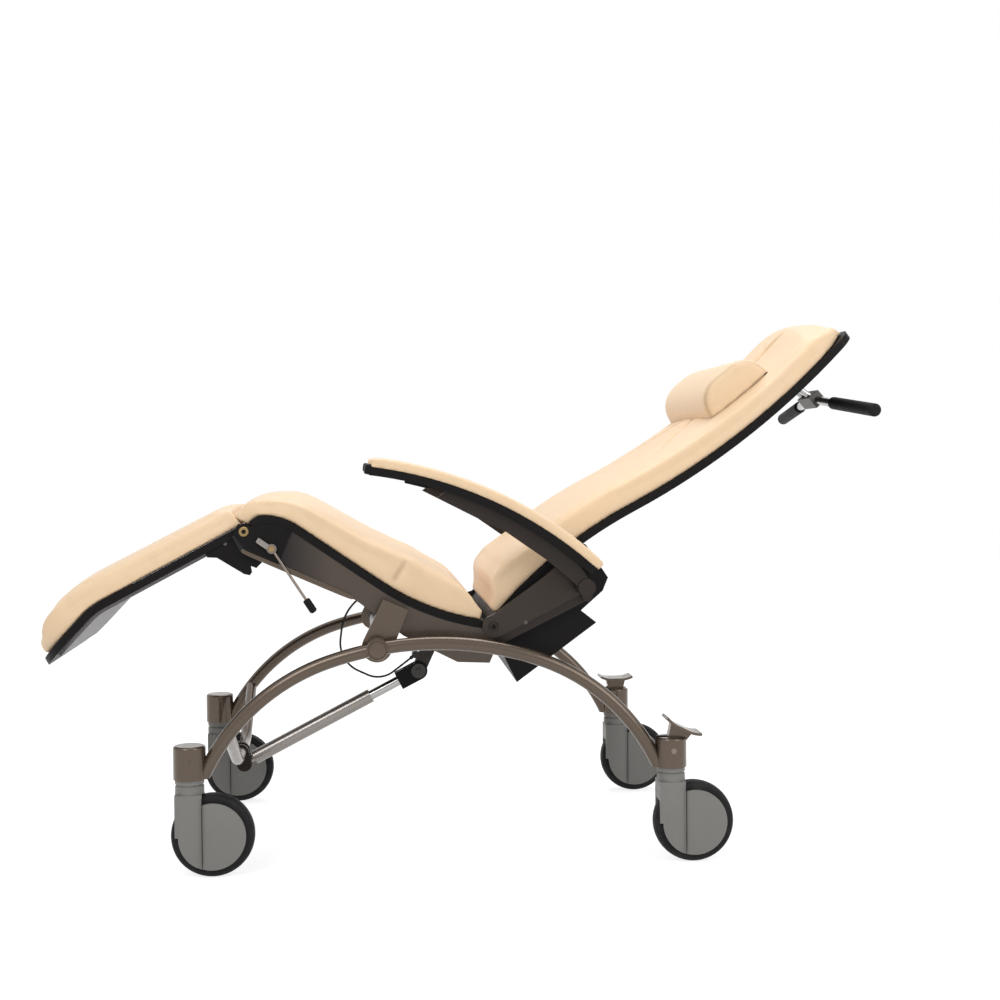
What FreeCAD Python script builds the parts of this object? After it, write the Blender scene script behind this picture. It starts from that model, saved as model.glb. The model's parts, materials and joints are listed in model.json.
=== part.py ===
import FreeCAD, Part
import math
import os
import Sketcher
from FreeCAD import Placement, Rotation, Vector

# Tilting transfer chair on four casters. X runs from the footrest to the head,
# the sitter's left is -Y, Z is up from the floor. Lengths in mm, angles in degrees.
SIZES = {
    # Base
    "wheelbase": "880",
    "track_margin": "48",  # of the arches beyond the seat's edges
    "arch_tube": "25",
    "arch_crown": "413",  # tube centre above the floor
    "arch_crown_radius": "600",
    "arch_crown_angle": "18.5",  # from the crown to where the legs begin
    "arch_leg_radius": "382",
    "arch_leg_angle": "45",
    "arch_end": "26",  # straight end that enters the socket
    "socket_diameter": "58",
    "socket_floor": "177",
    "socket_height": "60",
    "rear_socket_height": "55",
    "socket_edge": "5",
    "hub_angle": "9.7",  # of the tilt hub along the crown arc, toward the feet
    "hub_diameter": "40",
    "hub_width": "32",
    "hub_end_wall": "6",
    "cross_tube": "22",
    "cross_tube_angle": "52",  # along the arch from the crown
    "cross_bow_angle": "24",
    "cross_bow_radius": "150",
    "cross_bow_run": "184",
    # Casters
    "wheel_diameter": "150",
    "wheel_width": "34",
    "wheel_gap": "1.5",  # beside the wheel
    "wheel_over": "3",  # above the tread
    "tyre_height": "15",
    "tyre_shoulder": "7",
    "trail": "41",
    "guard_radius": "60",
    "guard_wall": "5",
    "barrel_inset": "3",  # of the barrel from the socket's rim
    "barrel_foot": "146",
    "column_front": "25",  # edges of the leg column from the stem axis
    "column_rear": "23",
    "column_bow": "4",
    "swivel_gap": "0.5",
    "stem_diameter": "20",
    "stem_foot": "154",
    "stem_top": "187",
    "axle_diameter": "10",
    "running_gap": "0.05",
    # Brake pedals
    "pedal_pivot": "209",
    "pedal_height": "41",
    "pedal_width": "50",
    "pedal_sheet": "5",
    "pedal_flare_radius": "55",
    "pedal_flare_angle": "28",
    "pedal_flat": "22",
    "pedal_web": "18",
    "pedal_tilt": "26",
    "pin_diameter": "10",
    # Seat
    "seat_angle": "24",
    "seat_width": "504",
    "panel_sheet": "14",
    "knee_u": "-307.2",  # legrest hinge from the tilt axis, along the seat
    "knee_v": "97.5",
    "hinge_u": "183.9",  # back hinge from the tilt axis, along the seat
    "hinge_v": "118",
    "seat_nose_radius": "30",
    "seat_nose_angle": "80",
    "seat_start_u": "-287.5",
    "seat_start_v": "136.7",
    "seat_knee_angle": "25",
    "seat_knee_radius": "110",
    "seat_slope": "10.5",
    "seat_tail_gap": "21",  # from the panel's rear edge to the back hinge
    "seat_dish_radius": "460",
    "seat_rear_angle": "15",
    "seat_foam": "64",
    "seat_crown": "8",
    "cushion_tuck": "8",  # how far the sides draw in at foot and top
    "cushion_sink": "4",
    "side_plate": "6",
    "plate_inset": "2",  # of the side plates from the seat's edges
    "plate_low_front": "62",  # lower edge of the side plates above the tilt axis
    "plate_low_rear": "30",
    "plate_step_u": "-70",  # where the lower edge starts to deepen
    "plate_deep_u": "150",
    "plate_tail_v": "52",
    "knee_plate": "4",
    "knee_plate_u": "-226",  # rear edge
    "knee_plate_v": "67",  # lower edge
    "front_bar_u": "-200",
    "front_bar_v": "86",
    "rear_bar_v": "66",
    "cross_bar_width": "30",
    "cross_bar_height": "20",
    "bracket_width": "50",
    "bracket_foot": "28",
    "bracket_top": "85",
    "bracket_plate": "10",
    "bracket_offset": "26",  # outer face beyond the side plates
    "shaft_diameter": "20",
    "shaft_over": "8",  # beyond the arches
    "hinge_pin": "12",
    "hinge_boss": "22",  # plate round the hinge pins
    "hinge_head": "18",
    "hinge_head_height": "3.6",
    "layer_gap": "2",  # between plates that turn on each other
    # Legrest
    "leg_angle": "28",
    "leg_inset": "9",  # from the seat's edges
    "leg_run": "282",
    "leg_knee_gap": "9",  # from the knee hinge to the panel's edge
    "leg_boss": "14",  # of the brackets round the knee hinge
    "leg_bend_radius": "120",
    "leg_bend_angle": "19",
    "leg_foot_run": "118",
    "leg_panel_v": "12",
    "leg_corner": "80",
    "leg_shell_sheet": "6",
    "leg_shell_margin": "26",
    "leg_bracket_inset": "3",
    "leg_foam": "38",
    "leg_crown": "9",
    "bracket_reach": "82",  # of the brackets along the panel
    "bracket_heel": "8",
    "bracket_heel_u": "-67",
    "bracket_heel_v": "-19",
    "bracket_low_u": "-38",
    "bracket_low_v": "-69",
    "bracket_toe_u": "-30",
    "bracket_toe_v": "-76",
    "bracket_notch": "6",
    "bracket_end_v": "-66",
    # Backrest
    "back_angle": "36",
    "back_inset": "9",  # from the seat's edges
    "back_start_v": "8",
    "lumbar_radius": "860",
    "lumbar_rise": "14.5",
    "lumbar_fall": "8.5",
    "head_radius": "1500",
    "head_angle": "21.8",
    "head_end": "880",  # of the panel from the hinge, along the lean
    "head_corner": "32",
    "back_foam": "66",
    "back_crown": "8",
    "arm_plate": "6",
    "arm_offset": "14",  # outer face beyond the side plates
    "arm_flange": "39",
    "arm_flange_sheet": "5",
    "armrest_u": "178.4",  # armrest pivot from the back hinge, along the back
    "armrest_v": "-36.9",
    "arm_low_u": "117",  # bend in the lower edge of the hinge arms
    "arm_low_v": "-42",
    "arm_top_u": "160",
    "arm_top_v": "18",
    "shroud_inset": "3",
    "shroud_front_u": "-27",
    "shroud_rear_u": "160",
    "shroud_low_v": "-114",
    "shroud_step_v": "-78",
    "shroud_lip_u": "228",
    "shroud_lip_v": "-59",
    "shroud_wall": "4",
    "pillow_low": "578",  # edges along the back
    "pillow_high": "724",
    "pillow_floor": "54",
    "pillow_rise": "66",
    "pillow_half": "190",
    "handle_u": "808",
    "handle_v": "-57",
    "handle_pitch": "84.7",
    "handle_splay": "8.2",
    "handle_bend": "120",
    "handle_half": "300",
    "handle_tube": "18",
    "grip_diameter": "25",
    "grip_length": "190",
    "stem_rod": "12",
    "stem_rod_spread": "20",
    # Armrests
    "armrest_start_x": "-399",  # front tip from the armrest pivot
    "armrest_start_z": "228.5",
    "armrest_fall": "6.7",
    "armrest_radius": "755",
    "armrest_sweep": "36",
    "armrest_offset": "68",  # middle beyond the seat's edges
    "armrest_knee_x": "-147",  # bends in the lower edge of the bar, from its pivot
    "armrest_knee_z": "103",
    "armrest_front_x": "-272",
    "armrest_front_z": "167",
    "armrest_width": "54",
    "armrest_pad": "12",
    "armrest_crown": "3",
    "armrest_tuck": "3",
    "armrest_body": "19.5",
    "armrest_body_width": "44",
    "armrest_bar": "8",
    "boss_diameter": "32",
    "boss_pin": "16",
    "tail_plate": "4",
    "link_plate": "4",
    "link_width": "18",
    "link_slack": "0.9",
    "link_x": "9",  # link pin from the armrest pivot
    "link_z": "-21",
    "link_seat_x": "11",  # link pin from the back hinge
    "link_seat_z": "-26",
    # Gas spring
    "gas_foot_x": "6",  # foot pin from the cross tube
    "gas_foot_z": "-24",
    "gas_head_u": "112",  # head pin from the tilt axis, along the seat
    "gas_head_v": "-40",
    "gas_tongue": "14",
    "gas_body": "28",
    "gas_body_length": "284",
    "gas_rod": "20",
    "gas_rod_inside": "120",
    "gas_slack": "6.5",  # round the head pin
    "gas_fork_cheek": "6",
    "gas_fork_width": "36",
    # Release lever and cable
    "lever_u": "-248",
    "lever_v": "89",
    "lever_fall": "33",
    "lever_length": "112",
    "lever_rod": "5",
    "knob_diameter": "14",
    "knob_length": "28",
    "cable": "4",
    "cable_side": "22",
    "cable_u": "92",  # stop on the gas bracket, from the tilt axis
    "cable_v": "-11",
    "cable_heading": "241",
    "cable_drop": "56",
    "cable_low_bend": "50",
    "cable_side_bend": "62",
    "cable_top_bend": "90",
    "cable_low_turn": "62",
    "cable_side_turn": "72",
    "cable_top_turn": "45",
    "cable_run": "20",
    "ferrule": "7",
    "ferrule_length": "13",
}

doc = FreeCAD.newDocument("TransferChair")
dims = doc.addObject("Spreadsheet::Sheet", "dims")
for row, (alias, value) in enumerate(SIZES.items(), start=1):
    dims.set("A%d" % row, alias)
    dims.set("B%d" % row, value)
    dims.setAlias("B%d" % row, alias)
doc.recompute()

X_AXIS = Vector(1, 0, 0)
Y_AXIS = Vector(0, 1, 0)
Z_AXIS = Vector(0, 0, 1)
SEAM_SHARE = 0.62  # of a cushion's half width and crown, where its channels lie
nodes = []


class Path:
    """A line of straight runs and tangent arcs in a sketch plane."""

    def __init__(self, x, y, heading):
        self.pieces = []
        self.end = (x, y, math.radians(heading))
        self.length = 0.0

    def _add(self, length, bend):
        self.pieces.append((self.end, self.length, length, bend))
        point = self._point(self.pieces[-1], length, 0.0)
        self.end = (point.x, point.y, self.end[2] + bend * length)
        self.length += length
        return self

    def run(self, length):
        return self._add(length, 0.0)

    def turn(self, radius, angle):
        """An arc; positive angles turn left."""
        return self._add(radius * math.radians(abs(angle)), math.copysign(1.0 / radius, angle))

    @staticmethod
    def _point(piece, along, off):
        (x, y, heading), _, _, bend = piece
        turned = heading + bend * along
        if bend:
            x += (math.sin(turned) - math.sin(heading)) / bend
            y -= (math.cos(turned) - math.cos(heading)) / bend
        else:
            x += along * math.cos(heading)
            y += along * math.sin(heading)
        return Vector(x - off * math.sin(turned), y + off * math.cos(turned), 0)

    def _piece(self, s):
        return next((p for p in self.pieces if s <= p[1] + p[2]), self.pieces[-1])

    def at(self, s, off=0.0):
        """The point a distance s along the line, off to its left."""
        piece = self._piece(s)
        return self._point(piece, s - piece[1], off)

    def heading(self, s):
        (_, _, heading), start, _, bend = self._piece(s)
        return math.degrees(heading + bend * (s - start))

    def edges(self, off=0.0, first=0.0, last=None):
        """Lines and arcs beside the path between two distances along it."""
        last = self.length if last is None else last
        made = []
        for piece in self.pieces:
            start = max(first - piece[1], 0.0)
            stop = min(last - piece[1], piece[2])
            if stop - start < 1e-6:
                continue
            a, b, c = [self._point(piece, s, off) for s in (start, (start + stop) / 2, stop)]
            made.append(Part.Arc(a, b, c) if piece[3] else Part.LineSegment(a, c))
        return made

    def strip(self, low, high, first=0.0, last=None):
        """The closed outline between two offsets."""
        last = self.length if last is None else last
        caps = [Part.LineSegment(self.at(s, low), self.at(s, high)) for s in (first, last)]
        return self.edges(low, first, last) + self.edges(high, first, last) + caps


def chain(points):
    """Straight edges through points."""
    flat = [Vector(x, y, 0) for x, y in points]
    return [Part.LineSegment(a, b) for a, b in zip(flat, flat[1:])]


def polygon(points):
    return chain(list(points) + [points[0]])


def circle(x, y, radius):
    return Part.Circle(Vector(x, y, 0), Z_AXIS, radius)


def capsule(a, b, radius):
    """A slot-shaped outline round two points."""
    a, b = Vector(*a, 0), Vector(*b, 0)
    along = (b - a).normalize() * radius
    side = Vector(-along.y, along.x, 0)
    return [
        Part.LineSegment(a + side, b + side),
        Part.Arc(b + side, b + along, b - side),
        Part.LineSegment(b - side, a - side),
        Part.Arc(a - side, a - along, a + side),
    ]


def plan(x_low, x_high, half, r_low, r_high):
    """A rectangle seen from above with rounded corners at each end."""
    path = Path(x_low + r_low, -half, 0)
    path.run(x_high - x_low - r_low - r_high)
    for radius, straight in ((r_high, 2 * (half - r_high)), (r_high, x_high - x_low - r_low - r_high),
                             (r_low, 2 * (half - r_low))):
        path.turn(radius, 90)
        path.run(straight)
    path.turn(r_low, 90)
    return path.edges()


def bind(thing, prop, size):
    thing.setExpression(prop, size)
    return thing


def sketch_on(body, role, geometry, offset=0.0):
    sketch = body.newObject("Sketcher::SketchObject", body.Name + "_sketch")
    plane = next(f for f in body.Origin.OriginFeatures if f.Role == role)
    sketch.AttachmentSupport = [(plane, "")]
    sketch.MapMode = "FlatFace"
    sketch.AttachmentOffset = Placement(Vector(0, 0, offset), Rotation())
    sketch.addGeometry(geometry, False)
    sketch.addConstraint([Sketcher.Constraint("Block", i) for i in range(len(geometry))])
    return sketch


def pad(name, geometry, top, thickness, role="XZ_Plane"):
    """A flat piece; top is its face of highest Y (or lowest Z when drawn from above)."""
    body = doc.addObject("PartDesign::Body", name)
    offset = -top if role == "XZ_Plane" else top
    sketch = sketch_on(body, role, geometry, offset)
    feature = body.newObject("PartDesign::Pad", name + "_pad")
    feature.Profile = sketch
    bind(feature, "Length", thickness)
    return body


def turned(name, geometry, role="XZ_Plane"):
    """A piece turned about Z (drawn on XZ) or about Y (drawn on XY)."""
    body = doc.addObject("PartDesign::Body", name)
    sketch = sketch_on(body, role, geometry)
    feature = body.newObject("PartDesign::Revolution", name + "_turn")
    feature.Profile = sketch
    feature.ReferenceAxis = (sketch, ["V_Axis"])
    feature.Angle = 360
    return body


def half_pipe(name, spine, spine_role, spine_offset, section, section_role, mirror_role):
    """A bent round bar, swept from its middle and mirrored."""
    body = doc.addObject("PartDesign::Body", name)
    pipe = body.newObject("PartDesign::AdditivePipe", name + "_pipe")
    spine_sketch = sketch_on(body, spine_role, spine, spine_offset)
    section_sketch = sketch_on(body, section_role, section)
    pipe.Profile = section_sketch
    pipe.Spine = (spine_sketch, [])
    body.addObject(pipe)
    mirror = body.newObject("PartDesign::Mirrored", name + "_mirror")
    mirror.Originals = [pipe]
    plane = next(f for f in body.Origin.OriginFeatures if f.Role == mirror_role)
    mirror.MirrorPlane = (plane, [""])
    body.Tip = mirror
    return body


def cylinder(name, diameter, length, foot, direction=Y_AXIS):
    made = doc.addObject("Part::Cylinder", name)
    bind(made, "Radius", "(%s) / 2" % diameter)
    bind(made, "Height", length)
    made.Placement = Placement(foot, Rotation(Z_AXIS, direction))
    return made


def box(name, low, high):
    made = doc.addObject("Part::Box", name)
    made.Length, made.Width, made.Height = high - low
    made.Placement.Base = low
    return made


def fuse(name, *pieces):
    made = doc.addObject("Part::MultiFuse", name)
    made.Shapes = list(pieces)
    return made


def cut(name, base, tool):
    made = doc.addObject("Part::Cut", name)
    made.Base = base
    made.Tool = tool
    return made


def common(name, base, tool):
    made = doc.addObject("Part::Common", name)
    made.Base = base
    made.Tool = tool
    return made


def mirrored(name, source):
    made = doc.addObject("Part::Mirroring", name)
    made.Source = source
    made.Normal = Y_AXIS
    return made


def both_sides(name, left):
    made = doc.addObject("Part::Compound", name)
    made.Links = [left, mirrored(left.Name + "_right", left)]
    return made


def node(name, made, place=None):
    """Register a finished piece under the name of its file."""
    if place is not None:
        made.Placement = place
    made.Label = name
    nodes.append(made)
    return made


def turn_about_y(angle):
    return Rotation(Y_AXIS, angle)


# Base: two arches with sockets and tilt hubs

half_seat = dims.seat_width / 2
half_track = half_seat + dims.track_margin
half_leg = half_seat - dims.leg_inset
half_back = half_seat - dims.back_inset
face = half_seat - dims.plate_inset  # outer faces from the centre line
leg_face = half_leg - dims.leg_bracket_inset
arm_face = face + dims.arm_offset
bracket_face = face + dims.bracket_offset
armrest_middle = half_seat + dims.armrest_offset
half_base = dims.wheelbase / 2
tube_radius = dims.arch_tube / 2
socket_radius = dims.socket_diameter / 2
pin_radius = dims.pin_diameter / 2


def arch_point(angle):
    """A point of the arch's centre line, by its turn from the crown toward the head."""
    path = Path(0, dims.arch_crown, 0)
    if angle <= dims.arch_crown_angle:
        path.turn(dims.arch_crown_radius, -angle)
    else:
        path.turn(dims.arch_crown_radius, -dims.arch_crown_angle)
        path.turn(dims.arch_leg_radius, dims.arch_crown_angle - angle)
    return path.end


hub_x, hub_z, _ = arch_point(dims.hub_angle)
tilt_axis = Vector(-hub_x, 0, hub_z)
cross_x, cross_z, _ = arch_point(dims.cross_tube_angle)

arch_path = Path(0, dims.arch_crown, 0)
arch_path.turn(dims.arch_crown_radius, -dims.arch_crown_angle)
arch_path.turn(dims.arch_leg_radius, -dims.arch_leg_angle)
arch_path.run(dims.arch_end)
arch = half_pipe("arch", arch_path.edges(), "XZ_Plane", half_track,
                 [circle(-half_track, dims.arch_crown, tube_radius)], "YZ_Plane", "YZ_Plane")


def socket(name, height, x):
    """A turned caster socket with a rounded rim, closed on top."""
    top = dims.socket_floor + height
    edge = dims.socket_edge
    corner = socket_radius - edge
    bevel = edge * (1 - math.sqrt(0.5))
    outline = chain([(0, top), (0, dims.socket_floor), (socket_radius, dims.socket_floor),
                     (socket_radius, top - edge)])
    outline.append(Part.Arc(Vector(socket_radius, top - edge, 0),
                            Vector(socket_radius - bevel, top - bevel, 0), Vector(corner, top, 0)))
    outline += chain([(corner, top), (0, top)])
    made = turned(name, outline)
    made.Placement.Base = Vector(x, -half_track, 0)
    return made


hub_outer = half_track + dims.hub_width / 2
hub_inner = half_track - dims.hub_width / 2
hub_bevel = dims.hub_end_wall / 3
hub_radius = dims.hub_diameter / 2
hub = turned("hub", polygon([(0, -hub_outer), (hub_radius - hub_bevel, -hub_outer),
                             (hub_radius, hub_bevel - hub_outer), (hub_radius, -hub_inner), (0, -hub_inner)]),
             "XY_Plane")
hub.Placement.Base = tilt_axis
side_blank = fuse("side_blank", arch, socket("front_socket", dims.socket_height, -half_base),
                  socket("rear_socket", dims.rear_socket_height, half_base), hub)

shaft_bore = cylinder("shaft_bore", "dims.shaft_diameter + 2 * dims.running_gap",
                      "dims.hub_width - dims.hub_end_wall",
                      tilt_axis + Vector(0, dims.hub_end_wall - hub_outer, 0))
stem_bores = [cylinder("stem_bore", "dims.stem_diameter", "dims.stem_top - dims.socket_floor",
                       Vector(x, -half_track, dims.socket_floor), Z_AXIS) for x in (-half_base, half_base)]
slot_half = dims.pedal_web / 2 + dims.layer_gap / 2
slot_floor = dims.stem_top + dims.pedal_sheet / 2
pedal_slot = box("pedal_slot", Vector(half_base - 2 * socket_radius, -half_track - slot_half, slot_floor),
                 Vector(half_base + 2 * socket_radius, slot_half - half_track, dims.arch_crown))
pedal_slot_trim = cylinder("pedal_slot_trim", "dims.socket_diameter", "dims.arch_crown",
                           Vector(half_base, -half_track, 0), Z_AXIS)
pedal_bore = cylinder("pedal_bore", "dims.pin_diameter", "dims.socket_diameter",
                      Vector(half_base, -half_track - socket_radius, dims.pedal_pivot))
floor_trim = box("floor_trim", Vector(-dims.wheelbase, -2 * half_track, 0),
                 Vector(dims.wheelbase, 0, dims.socket_floor))
side_tools = fuse("side_tools", shaft_bore, *stem_bores,
                  common("pedal_slot_round", pedal_slot, pedal_slot_trim), pedal_bore, floor_trim)
left_side = node("side_frame_left", cut("left_side", side_blank, side_tools))
right_side = node("side_frame_right", mirrored("right_side", left_side))

bow_drop = (dims.cross_bow_run * math.sin(math.radians(dims.cross_bow_angle))
            + dims.cross_bow_radius * (1 - math.cos(math.radians(dims.cross_bow_angle))))
bow_reach = (dims.cross_bow_run * math.cos(math.radians(dims.cross_bow_angle))
             + dims.cross_bow_radius * math.sin(math.radians(dims.cross_bow_angle)))
cross_path = Path(0, cross_z - bow_drop, 0)
cross_path.run(half_track - bow_reach)
cross_path.turn(dims.cross_bow_radius, dims.cross_bow_angle)
cross_path.run(dims.cross_bow_run)
cross_blank = half_pipe("cross_blank", cross_path.edges(), "YZ_Plane", -cross_x,
                        [circle(-cross_x, cross_z - bow_drop, dims.cross_tube / 2)], "XZ_Plane", "XZ_Plane")
both_arches = both_sides("both_arches", arch)
node("front_cross_tube", cut("cross_tube", cross_blank, both_arches))

stems = [cylinder("stem", "dims.stem_diameter", "dims.stem_top - dims.stem_foot",
                  Vector(x, -half_track, dims.stem_foot), Z_AXIS) for x in (-half_base, half_base)]
node("caster_stems", both_sides("stems_both", fuse("stems_left", *stems)))
pedal_pin = cylinder("pedal_pin", "dims.pin_diameter", "dims.socket_diameter",
                     Vector(half_base, -half_track - socket_radius, dims.pedal_pivot))
node("pedal_pins", both_sides("pedal_pins_both", pedal_pin))

# Foot of the gas spring: two ears threaded on the cross tube, with a pin
tube_low = Vector(-cross_x, 0, cross_z - bow_drop)
gas_foot = tube_low + Vector(dims.gas_foot_x, 0, dims.gas_foot_z)
ear_gap = pin_radius * 2
ear_radius = dims.cross_tube / 2 + dims.knee_plate
ear = pad("ear", capsule((tube_low.x, tube_low.z), (gas_foot.x, gas_foot.z), ear_radius)
          + [circle(tube_low.x, tube_low.z, dims.cross_tube / 2)], -ear_gap, "dims.side_plate")
foot_pin = cylinder("foot_pin", "dims.pin_diameter", "2 * (dims.pin_diameter + dims.side_plate)",
                    gas_foot - Vector(0, ear_gap + dims.side_plate, 0))
node("gas_foot", fuse("gas_foot_ears", ear, mirrored("ear_right", ear), foot_pin))

# Casters, drawn round the stem axis

wheel_radius = dims.wheel_diameter / 2
half_wheel = dims.wheel_width / 2
guard_inner = half_wheel + dims.wheel_gap
guard_outer = guard_inner + dims.guard_wall
wheel_centre = Vector(dims.trail, 0, wheel_radius)
half_axle = guard_inner + 0.6 * dims.guard_wall  # ends in blind bores of the guards
AXLE_LENGTH = "dims.wheel_width + 2 * (dims.wheel_gap + 0.6 * dims.guard_wall)"
COLUMN_HEIGHT = "dims.barrel_foot + dims.guard_wall - dims.wheel_diameter / 2 + dims.guard_radius"


def caster_housing(name):
    """A hooded fork: stem barrel with a ring groove, bowed leg column and two round thread guards."""
    top = dims.socket_floor - dims.swivel_gap
    groove = dims.guard_wall / 2
    ring = top - 2 * dims.guard_wall
    rim = socket_radius - dims.barrel_inset
    barrel = turned(name + "_barrel", polygon([
        (0, dims.barrel_foot), (rim, dims.barrel_foot), (rim, ring - groove), (rim - groove, ring),
        (rim, ring + groove), (rim, top), (0, top)]))
    front, rear = -dims.column_front, dims.column_rear
    bow = guard_outer + dims.column_bow
    outline = [Part.LineSegment(Vector(x, -guard_outer, 0), Vector(x, guard_outer, 0)) for x in (front, rear)]
    outline += [Part.Arc(Vector(front, side * guard_outer, 0), Vector(0, side * bow, 0),
                         Vector(rear, side * guard_outer, 0)) for side in (-1, 1)]
    column = pad(name + "_column", outline, wheel_radius - dims.guard_radius, COLUMN_HEIGHT, "XY_Plane")
    shadow = cylinder(name + "_shadow", "2 * dims.guard_radius", "2 * dims.wheel_diameter",
                      wheel_centre - Vector(0, dims.wheel_diameter, 0))
    above = box(name + "_above", Vector(-wheel_radius, -wheel_radius, wheel_radius),
                Vector(wheel_radius, wheel_radius, top))
    column_round = common(name + "_column_round", column, fuse(name + "_limits", shadow, above))
    discs = cylinder(name + "_discs", "2 * dims.guard_radius",
                     "dims.wheel_width + 2 * (dims.wheel_gap + dims.guard_wall)",
                     wheel_centre - Vector(0, guard_outer, 0))
    slot = cylinder(name + "_slot", "dims.wheel_diameter + 2 * dims.wheel_over",
                    "dims.wheel_width + 2 * dims.wheel_gap", wheel_centre - Vector(0, guard_inner, 0))
    bore = cylinder(name + "_bore", "dims.stem_diameter + 2 * dims.running_gap", "dims.socket_floor",
                    Vector(0, 0, dims.stem_foot - dims.swivel_gap), Z_AXIS)
    axle_bore = cylinder(name + "_axle_bore", "dims.axle_diameter", AXLE_LENGTH,
                         wheel_centre - Vector(0, half_axle, 0))
    tools = fuse(name + "_tools", slot, bore, axle_bore)
    return cut(name, fuse(name + "_blank", barrel, column_round, discs), tools)


def wheel_hub(name):
    """A web wheel: boss, thin web and rim."""
    bore = dims.axle_diameter / 2 + dims.running_gap
    boss = dims.axle_diameter * 1.6
    rim = wheel_radius - dims.tyre_height
    half_web = dims.guard_wall
    half_rim = half_wheel - dims.swivel_gap * 2
    return turned(name, polygon([
        (bore, -half_wheel), (boss, -half_wheel), (boss, -half_web), (rim - half_web, -half_web),
        (rim - half_web, -half_rim), (rim, -half_rim), (rim, half_rim), (rim - half_web, half_rim),
        (rim - half_web, half_web), (boss, half_web), (boss, half_wheel), (bore, half_wheel)]), "XY_Plane")


def tyre(name):
    """A solid tyre with a crowned tread."""
    rim = wheel_radius - dims.tyre_height
    wall = wheel_radius - dims.tyre_shoulder
    outline = chain([(wall, half_wheel), (rim, half_wheel), (rim, -half_wheel), (wall, -half_wheel)])
    inset = half_wheel * 0.6
    rise = dims.tyre_shoulder * 0.85
    for side in (-1, 1):
        outline.append(Part.Arc(Vector(wall, side * half_wheel, 0),
                                Vector(wall + rise * 0.66, side * (half_wheel * 0.87), 0),
                                Vector(wall + rise, side * inset, 0)))
    outline.append(Part.Arc(Vector(wall + rise, -inset, 0), Vector(wheel_radius, 0, 0),
                            Vector(wall + rise, inset, 0)))
    return turned(name, outline, "XY_Plane")


for side, y in (("left", -half_track), ("right", half_track)):
    for end, x in (("front", -half_base), ("rear", half_base)):
        corner = end + "_" + side
        spot = Vector(x, y, 0)
        node("caster_housing_" + corner, caster_housing("housing_" + corner), Placement(spot, Rotation()))
        axle = cylinder("axle_" + corner, "dims.axle_diameter", AXLE_LENGTH,
                        spot + wheel_centre - Vector(0, half_axle, 0))
        node("caster_axle_" + corner, axle)
        node("wheel_hub_" + corner, wheel_hub("hub_" + corner), Placement(spot + wheel_centre, Rotation()))
        node("tyre_" + corner, tyre("tread_" + corner), Placement(spot + wheel_centre, Rotation()))


def brake_pedal(name):
    """A rocking pedal: curved tread with flared tips on a web."""
    tread = Path(0, 0, -dims.pedal_flare_angle)
    tread.turn(dims.pedal_flare_radius, dims.pedal_flare_angle)
    tread.run(dims.pedal_flat)
    tread.turn(dims.pedal_flare_radius, dims.pedal_flare_angle)
    middle = tread.at(tread.length / 2)
    sheet = pad(name + "_tread", tread.strip(0, dims.pedal_sheet), dims.pedal_width / 2, "dims.pedal_width")
    sheet.Placement.Base = Vector(-middle.x, 0, dims.pedal_height - middle.y)
    foot = dims.pin_diameter
    head = dims.pedal_flat
    web_top = dims.pedal_height + dims.pedal_sheet / 2
    web_outline = polygon([(-foot, -foot / 2), (foot, -foot / 2), (head, web_top), (-head, web_top)])
    web = pad(name + "_web", web_outline, dims.pedal_web / 2, "dims.pedal_web")
    boss = cylinder(name + "_boss", "2.2 * dims.pin_diameter", "dims.pedal_web",
                    Vector(0, -dims.pedal_web / 2, 0))
    bore = cylinder(name + "_bore", "dims.pin_diameter + 2 * dims.running_gap", "dims.pedal_web",
                    Vector(0, -dims.pedal_web / 2, 0))
    return cut(name, fuse(name + "_blank", sheet, web, boss), bore)


for side, y, tilt in (("left", -half_track, dims.pedal_tilt), ("right", half_track, 0)):
    node("brake_pedal_" + side, brake_pedal("pedal_" + side),
         Placement(Vector(half_base, y, dims.pedal_pivot), turn_about_y(tilt)))

# Frames of the moving parts, each with its X along the part

seat_place = Placement(tilt_axis, turn_about_y(dims.seat_angle))
knee = Vector(dims.knee_u, 0, dims.knee_v)
hinge = Vector(dims.hinge_u, 0, dims.hinge_v)
leg_place = Placement(seat_place.multVec(knee), turn_about_y(-dims.leg_angle))
back_place = Placement(seat_place.multVec(hinge), turn_about_y(-dims.back_angle))
armrest_pivot = Vector(dims.armrest_u, 0, dims.armrest_v)
armrest_place = Placement(back_place.multVec(armrest_pivot), Rotation())


def cushion_section(path, s, half, side, crown, tuck):
    """A closed cushion section: flat foot, drawn-in sides, a crowned top in three swells."""
    origin = path.at(s)
    up = math.radians(path.heading(s))

    def spot(y, height):
        return Vector(origin.x - height * math.sin(up), y, origin.y + height * math.cos(up))

    base = -dims.cushion_sink
    foot = half - tuck
    seam = half * SEAM_SHARE
    seam_height = side + crown * SEAM_SHARE
    edges = [Part.LineSegment(spot(-foot, base), spot(foot, base))]
    edges.append(Part.Arc(spot(foot, base), spot(half, (side + base) / 2), spot(foot, side)))
    swell = side + crown * 0.6
    edges.append(Part.Arc(spot(foot, side), spot((foot + seam) / 2, swell), spot(seam, seam_height)))
    edges.append(Part.Arc(spot(seam, seam_height), spot(0, side + crown), spot(-seam, seam_height)))
    edges.append(Part.Arc(spot(-seam, seam_height), spot(-(foot + seam) / 2, swell), spot(-foot, side)))
    edges.append(Part.Arc(spot(-foot, side), spot(-half, (side + base) / 2), spot(-foot, base)))
    return Part.Wire([edge.toShape() for edge in edges])


def cushion(name, path, half, foam, crown, tuck, stations):
    """A cushion lofted along a path; stations are shares of its length, height, crown and width."""
    made = doc.addObject("Part::Feature", name)
    wires = [cushion_section(path, path.length * place, half * width, foam * height, crown * swell, tuck)
             for place, height, swell, width in stations]
    made.Shape = Part.makeLoft(wires, True, False)
    return made


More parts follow.
